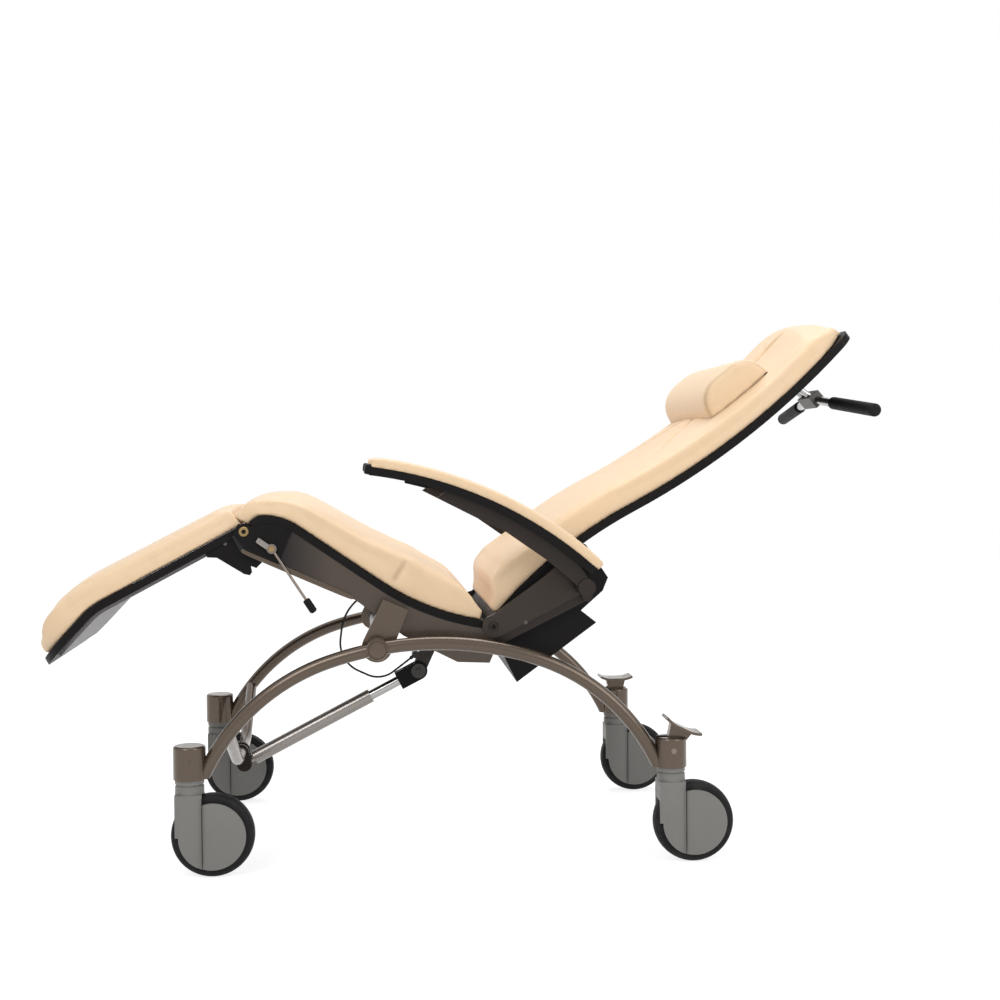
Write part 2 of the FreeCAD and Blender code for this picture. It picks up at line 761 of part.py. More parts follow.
def round_ends(along, sharpness):
    """Width share of a piece with round ends, from -1 to 1 along it."""
    return (1 - abs(along) ** sharpness) ** (1 / sharpness)


# Seat

seat_path = Path(dims.seat_start_u, dims.seat_start_v, dims.seat_knee_angle)
seat_path.turn(dims.seat_knee_radius, -dims.seat_knee_angle - dims.seat_slope)
slope = math.radians(dims.seat_slope)
bends = (dims.seat_knee_radius * (math.sin(math.radians(dims.seat_knee_angle)) + math.sin(slope))
         + dims.seat_dish_radius * (math.sin(slope) + math.sin(math.radians(dims.seat_rear_angle))))
seat_path.run((dims.hinge_u - dims.seat_tail_gap - dims.seat_start_u - bends) / math.cos(slope))
seat_path.turn(dims.seat_dish_radius, dims.seat_slope + dims.seat_rear_angle)
nose, knee_rise = math.radians(dims.seat_nose_angle), math.radians(dims.seat_knee_angle)
nose_path = Path(dims.seat_start_u - dims.seat_nose_radius * (math.sin(nose) - math.sin(knee_rise)),
                 dims.seat_start_v - dims.seat_nose_radius * (math.cos(knee_rise) - math.cos(nose)),
                 dims.seat_nose_angle)
nose_path.turn(dims.seat_nose_radius, dims.seat_knee_angle - dims.seat_nose_angle)
seat_sheet = pad("seat_sheet", seat_path.strip(-dims.panel_sheet, 0), half_seat, "dims.seat_width")
nose_sheet = pad("nose_sheet", nose_path.strip(-dims.panel_sheet, 0), half_seat, "dims.seat_width")
node("seat_panel", fuse("seat_board", seat_sheet, nose_sheet), seat_place)

seat_tool = pad("seat_tool", seat_path.strip(-dims.panel_sheet, 0), dims.seat_width, "2 * dims.seat_width")
sit = seat_path.length
seat_foam = cushion("seat_foam", seat_path, half_seat, dims.seat_foam, dims.seat_crown, dims.cushion_tuck, [
    (0, 0.45, 0.25, 0.97), (0.06, 0.57, 0.5, 0.99), (0.16, 0.62, 0.75, 1), (0.4, 0.73, 1, 1),
    (0.62, 1, 1, 1), (0.78, 0.95, 0.9, 1), (0.92, 0.7, 0.6, 1), (0.985, 0.2, 0.25, 0.99)])
node("seat_cushion", cut("seat_foam_cut", seat_foam, seat_tool), seat_place)

under = -dims.panel_sheet
boss_reach = dims.hinge_boss
seat_tail = seat_path.at(sit, under)
seat_nose = nose_path.at(0, under)
knee_edge = knee.x - boss_reach * 0.7
side_outline = nose_path.edges(under) + seat_path.edges(under) + chain([
    (seat_tail.x, seat_tail.y), (hinge.x, hinge.z + boss_reach * 0.8), (hinge.x + boss_reach, hinge.z),
    (hinge.x + boss_reach, dims.plate_tail_v), (dims.plate_deep_u, dims.plate_low_rear),
    (dims.plate_deep_u / 4, dims.plate_low_rear * 1.2), (dims.plate_step_u, dims.plate_low_front),
    (knee.x + boss_reach / 3, dims.plate_low_front), (knee_edge, knee.z - boss_reach * 0.8),
    (knee_edge, knee.z + boss_reach * 0.4), (seat_nose.x, seat_nose.y)])
side_plate = pad("side_plate", side_outline + [circle(knee.x, knee.z, dims.hinge_pin / 2),
                                               circle(hinge.x, hinge.z, dims.hinge_pin / 2)],
                 dims.side_plate - face, "dims.side_plate")
link_seat = back_place.Base + Vector(dims.link_seat_x, 0, dims.link_seat_z)
link_seat_local = seat_place.inverse().multVec(link_seat)
link_bore = cylinder("link_bore", "dims.pin_diameter", "dims.side_plate",
                     link_seat_local - Vector(0, face, 0))
left_plate = cut("left_plate", side_plate, link_bore)
left_plate.Placement = seat_place
node("seat_side_plates", both_sides("side_plates", left_plate))

knee_outline = nose_path.edges(under) + seat_path.edges(under, 0, sit * 0.14)
knee_tail = seat_path.at(sit * 0.14, under)
knee_outline += chain([(knee_tail.x, knee_tail.y), (dims.knee_plate_u, dims.knee_plate_v),
                       (knee.x + boss_reach * 0.8, dims.knee_plate_v), (knee_edge, knee.z - boss_reach * 0.6),
                       (knee_edge, knee.z + boss_reach * 0.4), (seat_nose.x, seat_nose.y)])
knee_sheet = pad("knee_sheet", knee_outline + [circle(knee.x, knee.z, dims.hinge_pin / 2)],
                 -face, "dims.knee_plate")
knee_sheet.Placement = seat_place
node("knee_plates", both_sides("knee_sheets", knee_sheet))

# Round cable of the release, from a stop on the gas bracket to the middle cross bar
cable_path = Path(dims.cable_u, dims.cable_v, dims.cable_heading)
cable_path.run(dims.cable_drop)
for bend, turn in ((dims.cable_low_bend, dims.cable_low_turn), (dims.cable_side_bend, dims.cable_side_turn),
                   (dims.cable_top_bend, dims.cable_top_turn)):
    cable_path.turn(bend, -turn)
    cable_path.run(dims.cable_run)
    print("cable bend radius %.0f" % bend)


def along_cable(s):
    point = cable_path.at(s)
    up = math.radians(cable_path.heading(s))
    return Vector(point.x, -dims.cable_side, point.y), Vector(math.cos(up), 0, math.sin(up))


cable_line = doc.addObject("Part::Feature", "cable_line")
route = Part.Wire([edge.toShape() for edge in cable_path.edges()])
route.rotate(Vector(), X_AXIS, 90)
route.translate(Vector(0, -dims.cable_side, 0))
cable_start, cable_heading = along_cable(0)
cable_section = Part.Wire([Part.Circle(cable_start, cable_heading, dims.cable / 2).toShape()])
cable_line.Shape = route.makePipeShell([cable_section], True, True)
cable_end, end_heading = along_cable(cable_path.length - dims.ferrule_length)
cable_pieces = [cable_line,
                cylinder("ferrule_start", "dims.ferrule", "dims.ferrule_length", cable_start, cable_heading),
                cylinder("ferrule_end", "dims.ferrule", "dims.ferrule_length", cable_end, end_heading)]
cable_tool = fuse("cable_tool", *cable_pieces)
node("release_cable", fuse("cable", *cable_pieces), seat_place)
print("cable length %.0f" % cable_path.length)

inner = face - dims.side_plate
bar_half = Vector(dims.cross_bar_width / 2, 0, dims.cross_bar_height / 2)
bar_seat = dims.ferrule / 2  # depth of the cable's end in the bar
bar_spots = [Vector(dims.front_bar_u, 0, dims.front_bar_v),
             Vector(cable_path.end[0], 0, cable_path.end[1] + bar_half.z - bar_seat),
             Vector(dims.gas_head_u, 0, dims.rear_bar_v)]
bars = [box("bar", spot - bar_half - Vector(0, inner, 0), spot + bar_half + Vector(0, inner, 0))
        for spot in bar_spots]
node("seat_cross_bars", cut("bars_cut", fuse("bars", *bars), cable_tool), seat_place)

bracket_half = dims.bracket_width / 2
plate_inner = bracket_face - dims.bracket_plate
bracket_plate = pad("bracket_plate", chain([(-dims.bracket_foot, 0), (-bracket_half, dims.bracket_top),
                                            (bracket_half, dims.bracket_top), (dims.bracket_foot, 0)])
                    + [Part.Arc(Vector(dims.bracket_foot, 0, 0), Vector(0, -dims.bracket_foot, 0),
                                Vector(-dims.bracket_foot, 0, 0)),
                       circle(0, 0, dims.shaft_diameter / 2)], -plate_inner, "dims.bracket_plate")
bracket_block = box("bracket_block", Vector(-bracket_half, -plate_inner, dims.bracket_top * 0.72),
                    Vector(bracket_half, -face, dims.bracket_top))
left_bracket = fuse("left_bracket", bracket_plate, bracket_block)
left_bracket.Placement = seat_place
node("pivot_brackets", both_sides("brackets", left_bracket))
node("tilt_shaft", cylinder("shaft", "dims.shaft_diameter",
                            "dims.seat_width + 2 * (dims.track_margin + dims.shaft_over)",
                            tilt_axis - Vector(0, half_track + dims.shaft_over, 0)))


def headed_pin(name, centre, head_at, foot_at):
    """A pin across the left side plate; its head bears at head_at from the centre line."""
    shank = dims.hinge_pin / 2
    head = dims.hinge_head / 2
    tip = head_at + dims.hinge_head_height
    edge = dims.hinge_head_height / 3
    made = turned(name, polygon([(0, -tip), (head - edge, -tip), (head, edge - tip), (head, -head_at),
                                 (shank, -head_at), (shank, -foot_at), (0, -foot_at)]), "XY_Plane")
    made.Placement.Base = centre
    return made


leg_inner = leg_face - dims.side_plate
hinge_pin = headed_pin("hinge_pin", hinge, arm_face + dims.swivel_gap, inner)
knee_pin = headed_pin("knee_pin", knee, face + dims.knee_plate, leg_inner - dims.layer_gap)
link_pin = cylinder("link_pin", "dims.pin_diameter",
                    "dims.side_plate + 2 * dims.layer_gap + dims.link_plate - dims.swivel_gap",
                    link_seat_local - Vector(0, arm_face - dims.arm_plate - dims.swivel_gap, 0))
left_pins = fuse("left_pins", hinge_pin, knee_pin, link_pin)
left_pins.Placement = seat_place
right_pins = mirrored("right_pins", left_pins)
lever_pivot = Vector(dims.lever_u, 0, dims.lever_v)
lever_inner = face + dims.knee_plate
lever_stub = cylinder("lever_stub", "dims.pin_diameter", "6 * dims.layer_gap",
                      lever_pivot - Vector(0, lever_inner + 6 * dims.layer_gap, 0))
lever_stub.Placement = seat_place.multiply(lever_stub.Placement)

gas_head = Vector(dims.gas_head_u, 0, dims.gas_head_v)
tongue_radius = dims.gas_tongue
tongue_top = dims.rear_bar_v - bar_half.z
tongue_left, tongue_right = gas_head.x - tongue_radius, gas_head.x + tongue_radius
tongue = pad("tongue", chain([(tongue_left, gas_head.z), (gas_head.x - bar_half.x, tongue_top),
                              (gas_head.x + bar_half.x, tongue_top), (tongue_right, gas_head.z)])
             + [Part.Arc(Vector(tongue_right, gas_head.z, 0),
                         Vector(gas_head.x, gas_head.z - tongue_radius, 0),
                         Vector(tongue_left, gas_head.z, 0)),
                circle(gas_head.x, gas_head.z, pin_radius)], pin_radius, "dims.pin_diameter")
stop = cylinder("stop", "2 * dims.ferrule", "dims.cable_side + dims.ferrule",
                cable_start - Vector(0, dims.ferrule, 0))
node("gas_bracket", cut("gas_bracket_cut", fuse("gas_bracket_blank", tongue, stop), cable_tool), seat_place)

fork_inner = pin_radius + dims.layer_gap
fork_outer = fork_inner + dims.gas_fork_cheek
washer_face = fork_outer + dims.swivel_gap
gas_shank = cylinder("gas_shank", "dims.pin_diameter", "4 * dims.pin_diameter",
                     gas_head - Vector(0, 2 * dims.pin_diameter, 0))
washer = cylinder("washer", "dims.pin_diameter + 3 * dims.gas_slack", "dims.layer_gap",
                  gas_head - Vector(0, washer_face + dims.layer_gap, 0))
gas_pin = fuse("gas_pin", gas_shank, washer, mirrored("washer_right", washer))
gas_pin.Placement = seat_place
pins = doc.addObject("Part::Compound", "pins")
pins.Links = [left_pins, right_pins, lever_stub, gas_pin]
node("hinge_pins", pins)

# Release lever

lever_place = Placement(seat_place.multVec(lever_pivot), turn_about_y(dims.seat_angle + dims.lever_fall))
lever_width = 4 * dims.layer_gap
lever_face = -lever_inner - dims.swivel_gap
lever_hub = cylinder("lever_hub", "1.8 * dims.pin_diameter", "4 * dims.layer_gap",
                     Vector(0, lever_face - lever_width, 0))
lever_middle = lever_face - lever_width / 2
lever_bar = cylinder("lever_bar", "dims.lever_rod", "dims.lever_length",
                     Vector(0, lever_middle, 0), X_AXIS)
lever_bore = cylinder("lever_bore", "dims.pin_diameter + 2 * dims.running_gap", "8 * dims.layer_gap",
                      Vector(0, lever_face - 6 * dims.layer_gap, 0))
node("lever_rod", cut("lever", fuse("lever_blank", lever_hub, lever_bar), lever_bore), lever_place)
knob_radius = dims.knob_diameter / 2
knob_edge = knob_radius * 0.4
knob = turned("knob", polygon([(0, 0), (knob_radius - knob_edge / 2, 0), (knob_radius, knob_edge),
                               (knob_radius, dims.knob_length - knob_edge),
                               (knob_radius - knob_edge, dims.knob_length), (0, dims.knob_length)]))
node("lever_knob", knob, lever_place.multiply(
    Placement(Vector(dims.lever_length, lever_middle, 0), Rotation(Z_AXIS, X_AXIS))))

# Legrest, drawn from the foot toward the knee

bend = math.radians(dims.leg_bend_angle)
leg_end_u = -dims.leg_knee_gap - dims.leg_run
leg_start_u = (leg_end_u - dims.leg_bend_radius * math.sin(bend) - dims.leg_foot_run * math.cos(bend))
leg_start_v = (dims.leg_panel_v - dims.leg_bend_radius * (1 - math.cos(bend))
               - dims.leg_foot_run * math.sin(bend))
leg_path = Path(leg_start_u, leg_start_v, dims.leg_bend_angle)
leg_path.run(dims.leg_foot_run)
leg_path.turn(dims.leg_bend_radius, -dims.leg_bend_angle)
leg_path.run(dims.leg_run)
leg_depth = 3 * dims.leg_corner


def leg_sheet(name, low, high, margin):
    """A bent sheet with round foot corners, inset by a margin."""
    half = half_leg - margin
    first = margin
    sheet = pad(name + "_sheet", leg_path.strip(low, high, first, leg_path.length - margin), half,
                "dims.seat_width - 2 * dims.leg_inset")
    outline = plan(leg_start_u + first * 0.9, leg_path.end[0], half, dims.leg_corner - margin, 1)
    shape = pad(name + "_plan", outline, -leg_depth, "6 * dims.leg_corner", "XY_Plane")
    return common(name, sheet, shape)


node("leg_panel", leg_sheet("leg_board", -dims.panel_sheet, 0, 0), leg_place)
node("leg_shell", leg_sheet("leg_back", -dims.panel_sheet - dims.leg_shell_sheet, -dims.panel_sheet,
                            dims.leg_shell_margin), leg_place)
leg_tool = pad("leg_tool", leg_path.strip(-dims.panel_sheet, 0), dims.seat_width, "2 * dims.seat_width")
leg_foam = cushion("leg_foam", leg_path, half_leg, dims.leg_foam, dims.leg_crown, dims.cushion_tuck, [
    (0.035, 0.7, 0.22, 0.82), (0.06, 1, 0.44, 0.9), (0.12, 1.3, 0.67, 0.97), (0.2, 1.27, 0.9, 1),
    (0.32, 1.06, 1, 1), (0.6, 1, 1, 1), (0.9, 1, 0.78, 1), (0.985, 0.86, 0.44, 0.99)])
node("leg_cushion", cut("leg_foam_cut", leg_foam, leg_tool), leg_place)

leg_under = leg_path.end[1] - dims.panel_sheet
leg_edge = dims.swivel_gap - dims.leg_knee_gap
boss = dims.leg_boss
notch = dims.bracket_notch
quadrant = chain([
    (leg_edge, boss * 0.75), (leg_edge, leg_under), (-dims.bracket_reach, leg_under),
    (-dims.bracket_reach, leg_under - dims.bracket_heel), (dims.bracket_heel_u, dims.bracket_heel_v),
    (dims.bracket_low_u, dims.bracket_low_v), (dims.bracket_toe_u, dims.bracket_toe_v),
    (dims.bracket_toe_u + notch, dims.bracket_toe_v + notch / 2),
    (dims.bracket_toe_u + 1.6 * notch, dims.bracket_toe_v + 2.4 * notch),
    (dims.bracket_toe_u + 2.8 * notch, dims.bracket_toe_v + notch), (0, dims.bracket_end_v),
    (boss * 0.95, -boss * 0.3)])
quadrant.append(Part.Arc(Vector(boss * 0.95, -boss * 0.3, 0), Vector(boss * 0.5, boss * 0.87, 0),
                         Vector(leg_edge, boss * 0.75, 0)))
leg_plate = pad("leg_plate", quadrant + [circle(0, 0, dims.hinge_pin / 2 + dims.running_gap)],
                -leg_inner, "dims.side_plate")
leg_plate.Placement = leg_place
node("leg_brackets", both_sides("leg_plates", leg_plate))

# Backrest

back_path = Path(0, dims.back_start_v, dims.lumbar_rise)
back_path.turn(dims.lumbar_radius, -dims.lumbar_rise - dims.lumbar_fall)
back_path.turn(dims.head_radius, dims.head_angle)
lean = back_path.length
back_sheet = pad("back_sheet", back_path.strip(-dims.panel_sheet, 0), half_back,
                 "dims.seat_width - 2 * dims.back_inset")
back_plan = pad("back_plan", plan(-dims.head_corner, dims.head_end, half_back, 1, dims.head_corner),
                -dims.seat_width, "2 * dims.seat_width", "XY_Plane")
node("back_panel", common("back_board", back_sheet, back_plan), back_place)
back_tool = pad("back_tool", back_path.strip(-dims.panel_sheet, 0), dims.seat_width, "2 * dims.seat_width")
back_foam = cushion("back_foam", back_path, half_back, dims.back_foam, dims.back_crown, dims.cushion_tuck, [
    (0.03, 0.36, 0.18, 0.97), (0.066, 0.97, 0.35, 1), (0.16, 1, 0.65, 1), (0.25, 0.71, 0.88, 1),
    (0.48, 0.62, 1, 1), (0.8, 0.58, 1, 1), (0.885, 0.54, 0.82, 1), (0.92, 0.48, 0.65, 0.95),
    (0.943, 0.3, 0.3, 0.85)])
node("back_cushion", cut("back_foam_cut", back_foam, back_tool), back_place)

# Head pillow: a D section lofted across the back


def pillow_section(y, share):
    middle = (dims.pillow_low + dims.pillow_high) / 2
    half = share * (dims.pillow_high - dims.pillow_low) / 2
    rise = share * dims.pillow_rise

    def spot(across, up):
        return Vector(middle + half * across, y, dims.pillow_floor + rise * up)

    edges = [Part.LineSegment(spot(-1, 0), spot(1, 0)),
             Part.Arc(spot(1, 0), spot(1.04, 0.62), spot(0.62, 0.98)),
             Part.Arc(spot(0.62, 0.98), spot(0, 1.12), spot(-0.62, 0.98)),
             Part.Arc(spot(-0.62, 0.98), spot(-1.04, 0.62), spot(-1, 0))]
    return Part.Wire([edge.toShape() for edge in edges])


pillow = doc.addObject("Part::Feature", "pillow")
pillow.Shape = Part.makeLoft([pillow_section(dims.pillow_half * y, round_ends(y, 7)) for y in (
    -0.985, -0.95, -0.88, -0.75, -0.55, -0.3, 0, 0.3, 0.55, 0.75, 0.88, 0.95, 0.985)], True, False)
back_foam_tool = cut("back_foam_tool", back_foam, back_tool)
node("head_pillow", cut("pillow_cut", pillow, back_foam_tool), back_place)

arm_inner = arm_face - dims.arm_plate
pivot_u, pivot_v = dims.armrest_u, dims.armrest_v
arm_root = dims.hinge_boss
arm_round_off = dims.boss_pin / 4
arm_sheet = pad("arm_sheet", polygon([
    (0, -arm_root), (dims.arm_low_u, dims.arm_low_v),
    (pivot_u - arm_round_off, pivot_v - 0.85 * dims.boss_pin),
    (pivot_u + dims.boss_pin, pivot_v + arm_round_off), (dims.arm_top_u, dims.arm_top_v),
    (0, dims.arm_top_v)]), -arm_inner, "dims.arm_plate")
arm_round = cylinder("arm_round", "1.9 * dims.hinge_boss", "dims.arm_plate", Vector(0, -arm_face, 0))
arm_end = cylinder("arm_end", "2.1 * dims.boss_pin", "dims.arm_plate",
                   armrest_pivot - Vector(0, arm_face, 0))
flange = pad("flange", back_path.strip(-dims.panel_sheet - dims.arm_flange_sheet, -dims.panel_sheet,
                                       lean * 0.07, lean * 0.18),
             dims.arm_flange - arm_face, "dims.arm_flange")
boss_reach_out = armrest_middle + dims.armrest_bar / 2 - dims.swivel_gap
arm_reach = "dims.armrest_offset + dims.plate_inset - dims.arm_offset"  # from the arm to the armrest's middle
boss_pin = cylinder("boss_pin", "dims.boss_pin", arm_reach + " + dims.armrest_bar / 2",
                    armrest_pivot - Vector(0, boss_reach_out, 0))
arm_bore = cylinder("arm_bore", "dims.hinge_pin + 2 * dims.running_gap", "2 * dims.arm_plate",
                    Vector(0, -arm_face - dims.arm_plate / 2, 0))
left_arm = cut("left_arm", fuse("arm_blank", arm_sheet, arm_round, arm_end, flange, boss_pin), arm_bore)
left_arm.Placement = back_place
node("back_arms", both_sides("arms", left_arm))

# Rear shroud: a trough under the back, open toward the panel
step = dims.shroud_wall * 2.5
trough = [(dims.shroud_lip_u, dims.shroud_lip_v),
          (dims.shroud_rear_u + 4.5 * step, dims.shroud_lip_v - 1.4 * step),
          (dims.shroud_rear_u - step, dims.shroud_step_v), (dims.shroud_rear_u, dims.shroud_low_v),
          (dims.shroud_front_u, dims.shroud_low_v), (dims.shroud_front_u + step, dims.shroud_low_v / 2)]
trough_top = -dims.panel_sheet - dims.arm_flange_sheet
rim_first, rim_last = lean * 0.01, lean * 0.255


def trough_outline(points, off):
    first, last = back_path.at(rim_first, off), back_path.at(rim_last, off)
    under_edge = chain([(last.x, last.y)] + points + [(first.x, first.y)])
    return back_path.edges(off, rim_first, rim_last) + under_edge


shroud_half = half_back - dims.shroud_inset
shroud_outer = pad("shroud_outer", trough_outline(trough, trough_top), shroud_half,
                   "dims.seat_width - 2 * (dims.back_inset + dims.shroud_inset)")
wall = dims.shroud_wall
hollow_shift = ((-wall, wall), (-wall / 2, wall), (-wall, wall), (-wall, wall), (wall, wall), (wall, 0))
hollow = [(x + dx, y + dy) for (x, y), (dx, dy) in zip(trough, hollow_shift)]
middle = back_path.at((rim_first + rim_last) / 2, trough_top / 2)
rim_from, rim_to = back_path.at(rim_first, trough_top), back_path.at(rim_last, trough_top)
hollow_top = [(rim_from.x + wall, rim_from.y + 2 * wall), (middle.x, middle.y),
              (rim_to.x - wall, rim_to.y + 2 * wall)]
shroud_inner = pad("shroud_inner", polygon(hollow + hollow_top), shroud_half - wall,
                   "dims.seat_width - 2 * (dims.back_inset + dims.shroud_inset + dims.shroud_wall)")
node("rear_shroud", cut("shroud", shroud_outer, shroud_inner), back_place)

# Push handle: a splayed bar on two rods

bar_seat_place = Placement(Vector(dims.handle_u, 0, dims.handle_v), turn_about_y(dims.handle_pitch))
bar_place = back_place.multiply(bar_seat_place)
handle_path = Path(0, 0, 90)
handle_path.turn(dims.handle_bend, -dims.handle_splay)
splay = math.radians(dims.handle_splay)
handle_path.run((dims.handle_half - dims.handle_bend * math.sin(splay)) / math.cos(splay))
handle_tube = dims.handle_tube / 2
handlebar = half_pipe("bar_tube", handle_path.edges(), "XY_Plane", 0, [circle(0, 0, handle_tube)],
                      "XZ_Plane", "XZ_Plane")
node("handlebar", handlebar, bar_place)
grip_radius = dims.grip_diameter / 2
grip_round = grip_radius * 0.5
grip_end = dims.grip_length + dims.arm_plate
grip_outline = chain([(0, dims.grip_length), (0, grip_end), (grip_radius - grip_round, grip_end)])
grip_outline.append(Part.Arc(Vector(grip_radius - grip_round, grip_end, 0),
                             Vector(grip_radius - grip_round * 0.29, grip_end - grip_round * 0.29, 0),
                             Vector(grip_radius, grip_end - grip_round, 0)))
grip_outline += chain([(grip_radius, grip_end - grip_round), (grip_radius, 2), (grip_radius - 2, 0),
                       (handle_tube, 0), (handle_tube, dims.grip_length), (0, dims.grip_length)])
grip = turned("grip", grip_outline)
grip_from = handle_path.at(handle_path.length - dims.grip_length)
grip_along = math.radians(handle_path.heading(handle_path.length))
grip_turn = Rotation(Z_AXIS, Vector(math.cos(grip_along), math.sin(grip_along), 0))
grip.Placement = bar_place.multiply(Placement(Vector(grip_from.x, grip_from.y, 0), grip_turn))
node("push_grips", both_sides("grips", grip))

rod_top = back_path.at(lean * 0.855, -dims.panel_sheet)
rod_start = Vector(rod_top.x, -dims.stem_rod_spread, rod_top.y + dims.panel_sheet / 2)
rod_end = Vector(dims.handle_u, -dims.stem_rod_spread, dims.handle_v)
rod_run = rod_end - rod_start
stem_rod = doc.addObject("Part::Cylinder", "stem_rod")
bind(stem_rod, "Radius", "dims.stem_rod / 2")
stem_rod.Height = rod_run.Length
stem_rod.Placement = Placement(rod_start, Rotation(Z_AXIS, rod_run))
clamp_half = Vector(handle_tube + dims.knee_plate, 2 * dims.stem_rod_spread, handle_tube + dims.knee_plate)
clamp = doc.addObject("Part::Box", "clamp")
clamp.Length, clamp.Width, clamp.Height = clamp_half * 2
clamp.Placement = bar_seat_place.multiply(Placement(clamp_half * -1, Rotation()))
stem_tool = fuse("stem_tool", back_tool, clamp)
rods = fuse("rods", stem_rod, mirrored("stem_rod_right", stem_rod))
node("handle_stem", cut("stem_rods", rods, stem_tool), back_place)
bar_copy = half_pipe("bar_copy", handle_path.edges(), "XY_Plane", 0, [circle(0, 0, handle_tube)],
                     "XZ_Plane", "XZ_Plane")
bar_copy.Placement = bar_seat_place
node("handle_clamp", cut("clamp_cut", clamp, bar_copy), back_place)

# Armrests with their bars, and the links that hold them level

armrest_path = Path(dims.armrest_start_x, dims.armrest_start_z, -dims.armrest_fall)
armrest_path.turn(dims.armrest_radius, -dims.armrest_sweep)
rest = armrest_path.length
half_pad = dims.armrest_width / 2
pad_shift = Vector(0, -armrest_middle, 0)


def armrest(side):
    """The pieces of one armrest, drawn for the left and mirrored for the right."""
    spread = (-0.985, -0.95, -0.88, -0.75, -0.55, -0.3, 0, 0.3, 0.55, 0.75, 0.88, 0.95, 0.985)
    foam_piece = cushion("pad_" + side, armrest_path, half_pad, dims.armrest_pad, dims.armrest_crown,
                         dims.armrest_tuck,
                         [(0.5 + t / 2, 0.3 + 0.55 * round_ends(t, 10), round_ends(t, 6), round_ends(t, 16))
                          for t in spread])
    tool = pad("pad_tool_" + side, armrest_path.strip(-dims.armrest_body, 0), dims.armrest_width,
               "2 * dims.armrest_width")
    soft = cut("pad_cut_" + side, foam_piece, tool)
    body = pad("body_" + side, armrest_path.strip(-dims.armrest_body, 0, rest * 0.015, rest * 0.985),
               dims.armrest_body_width / 2, "dims.armrest_body_width")
    top_first, top_last = rest * 0.32, rest * 0.93
    first, last = (armrest_path.at(s, -dims.armrest_body) for s in (top_first, top_last))
    inside = dims.boss_diameter * 0.4
    bar = pad("bar_" + side, armrest_path.edges(-dims.armrest_body, top_first, top_last)
              + chain([(last.x, last.y), (inside, 0), (0, -inside), (-inside, 0),
                       (dims.armrest_knee_x / 2, dims.armrest_knee_z / 2),
                       (dims.armrest_knee_x, dims.armrest_knee_z),
                       (dims.armrest_front_x, dims.armrest_front_z), (first.x, first.y)]),
              dims.armrest_bar / 2, "dims.armrest_bar")
    sleeve_foot = arm_face + dims.layer_gap
    sleeve = cylinder("sleeve_" + side, "dims.boss_diameter",
                      arm_reach + " + dims.armrest_bar - dims.layer_gap",
                      Vector(0, -dims.armrest_bar, 0))
    tail = pad("tail_" + side, capsule((0, 0), (dims.link_x, dims.link_z), dims.pin_diameter),
               armrest_middle - sleeve_foot, "dims.tail_plate")
    tail_pin = cylinder("tail_pin_" + side, "dims.pin_diameter",
                        "dims.tail_plate + dims.arm_plate + 2 * dims.layer_gap + dims.link_plate",
                        Vector(dims.link_x, armrest_middle - sleeve_foot - dims.tail_plate, dims.link_z))
    bore = cylinder("sleeve_bore_" + side, "dims.boss_pin + 2 * dims.running_gap",
                    arm_reach + " + dims.armrest_bar / 2",
                    Vector(0, -dims.armrest_bar / 2, 0))
    metal = cut("metal_" + side, fuse("metal_blank_" + side, bar, sleeve, tail, tail_pin), bore)
    return soft, body, metal


left_rest = armrest("left")
for name, made in zip(("armrest_pad", "armrest_body", "armrest_bar"), left_rest):
    made.Placement = Placement(armrest_place.Base + pad_shift, Rotation())
    node(name + "_left", made)
    node(name + "_right", mirrored(name + "_mirror", made))

link_end = armrest_place.Base + Vector(dims.link_x, 0, dims.link_z)
link_run = link_end - link_seat
link = pad("link", capsule((0, 0), (link_run.x, link_run.z), dims.link_width / 2)
           + [circle(0, 0, pin_radius + dims.running_gap),
              circle(link_run.x, link_run.z, pin_radius + dims.link_slack)],
           -face - dims.layer_gap, "dims.link_plate")
node("armrest_link_left", link, Placement(link_seat, Rotation()))
node("armrest_link_right", mirrored("link_right", link))

# Gas spring between the cross tube and the seat, drawn along Z from its foot

gas_top = seat_place.multVec(gas_head)
gas_run = gas_top - gas_foot
gas_length = gas_run.Length
gas_lean = math.degrees(math.atan2(gas_run.x, gas_run.z))
gas_place = Placement(gas_foot, turn_about_y(gas_lean))
gas_radius, rod_radius = dims.gas_body / 2, dims.gas_rod / 2
bore_radius = rod_radius + dims.running_gap
eye_radius = dims.pin_diameter * 0.9
shoulder = 2.5 * eye_radius
rod_foot = dims.gas_body_length - dims.gas_rod_inside
bore_foot = rod_foot - dims.gas_body
gas_tube = turned("gas_tube", polygon([
    (0, eye_radius * 0.7), (eye_radius * 0.7, eye_radius * 0.7), (eye_radius * 0.7, shoulder),
    (gas_radius, shoulder), (gas_radius, dims.gas_body_length), (bore_radius, dims.gas_body_length),
    (bore_radius, bore_foot), (0, bore_foot)]))
eye = cylinder("eye", "1.8 * dims.pin_diameter", "2 * dims.pin_diameter - dims.layer_gap",
               Vector(0, -dims.pin_diameter + dims.layer_gap / 2, 0))
eye_bore = cylinder("eye_bore", "dims.pin_diameter + 2 * dims.running_gap", "4 * dims.pin_diameter",
                    Vector(0, -2 * dims.pin_diameter, 0))
node("gas_cylinder", cut("gas_cylinder_cut", fuse("gas_cylinder_blank", gas_tube, eye), eye_bore), gas_place)
fork_half = dims.gas_fork_width / 2
fork_root = gas_length - 1.25 * dims.gas_fork_width
fork_floor = gas_length - 0.72 * dims.gas_fork_width
rod_outline = polygon([(0, rod_foot), (rod_radius, rod_foot), (rod_radius, fork_floor), (0, fork_floor)])
node("gas_rod", turned("gas_rod_bar", rod_outline), gas_place)
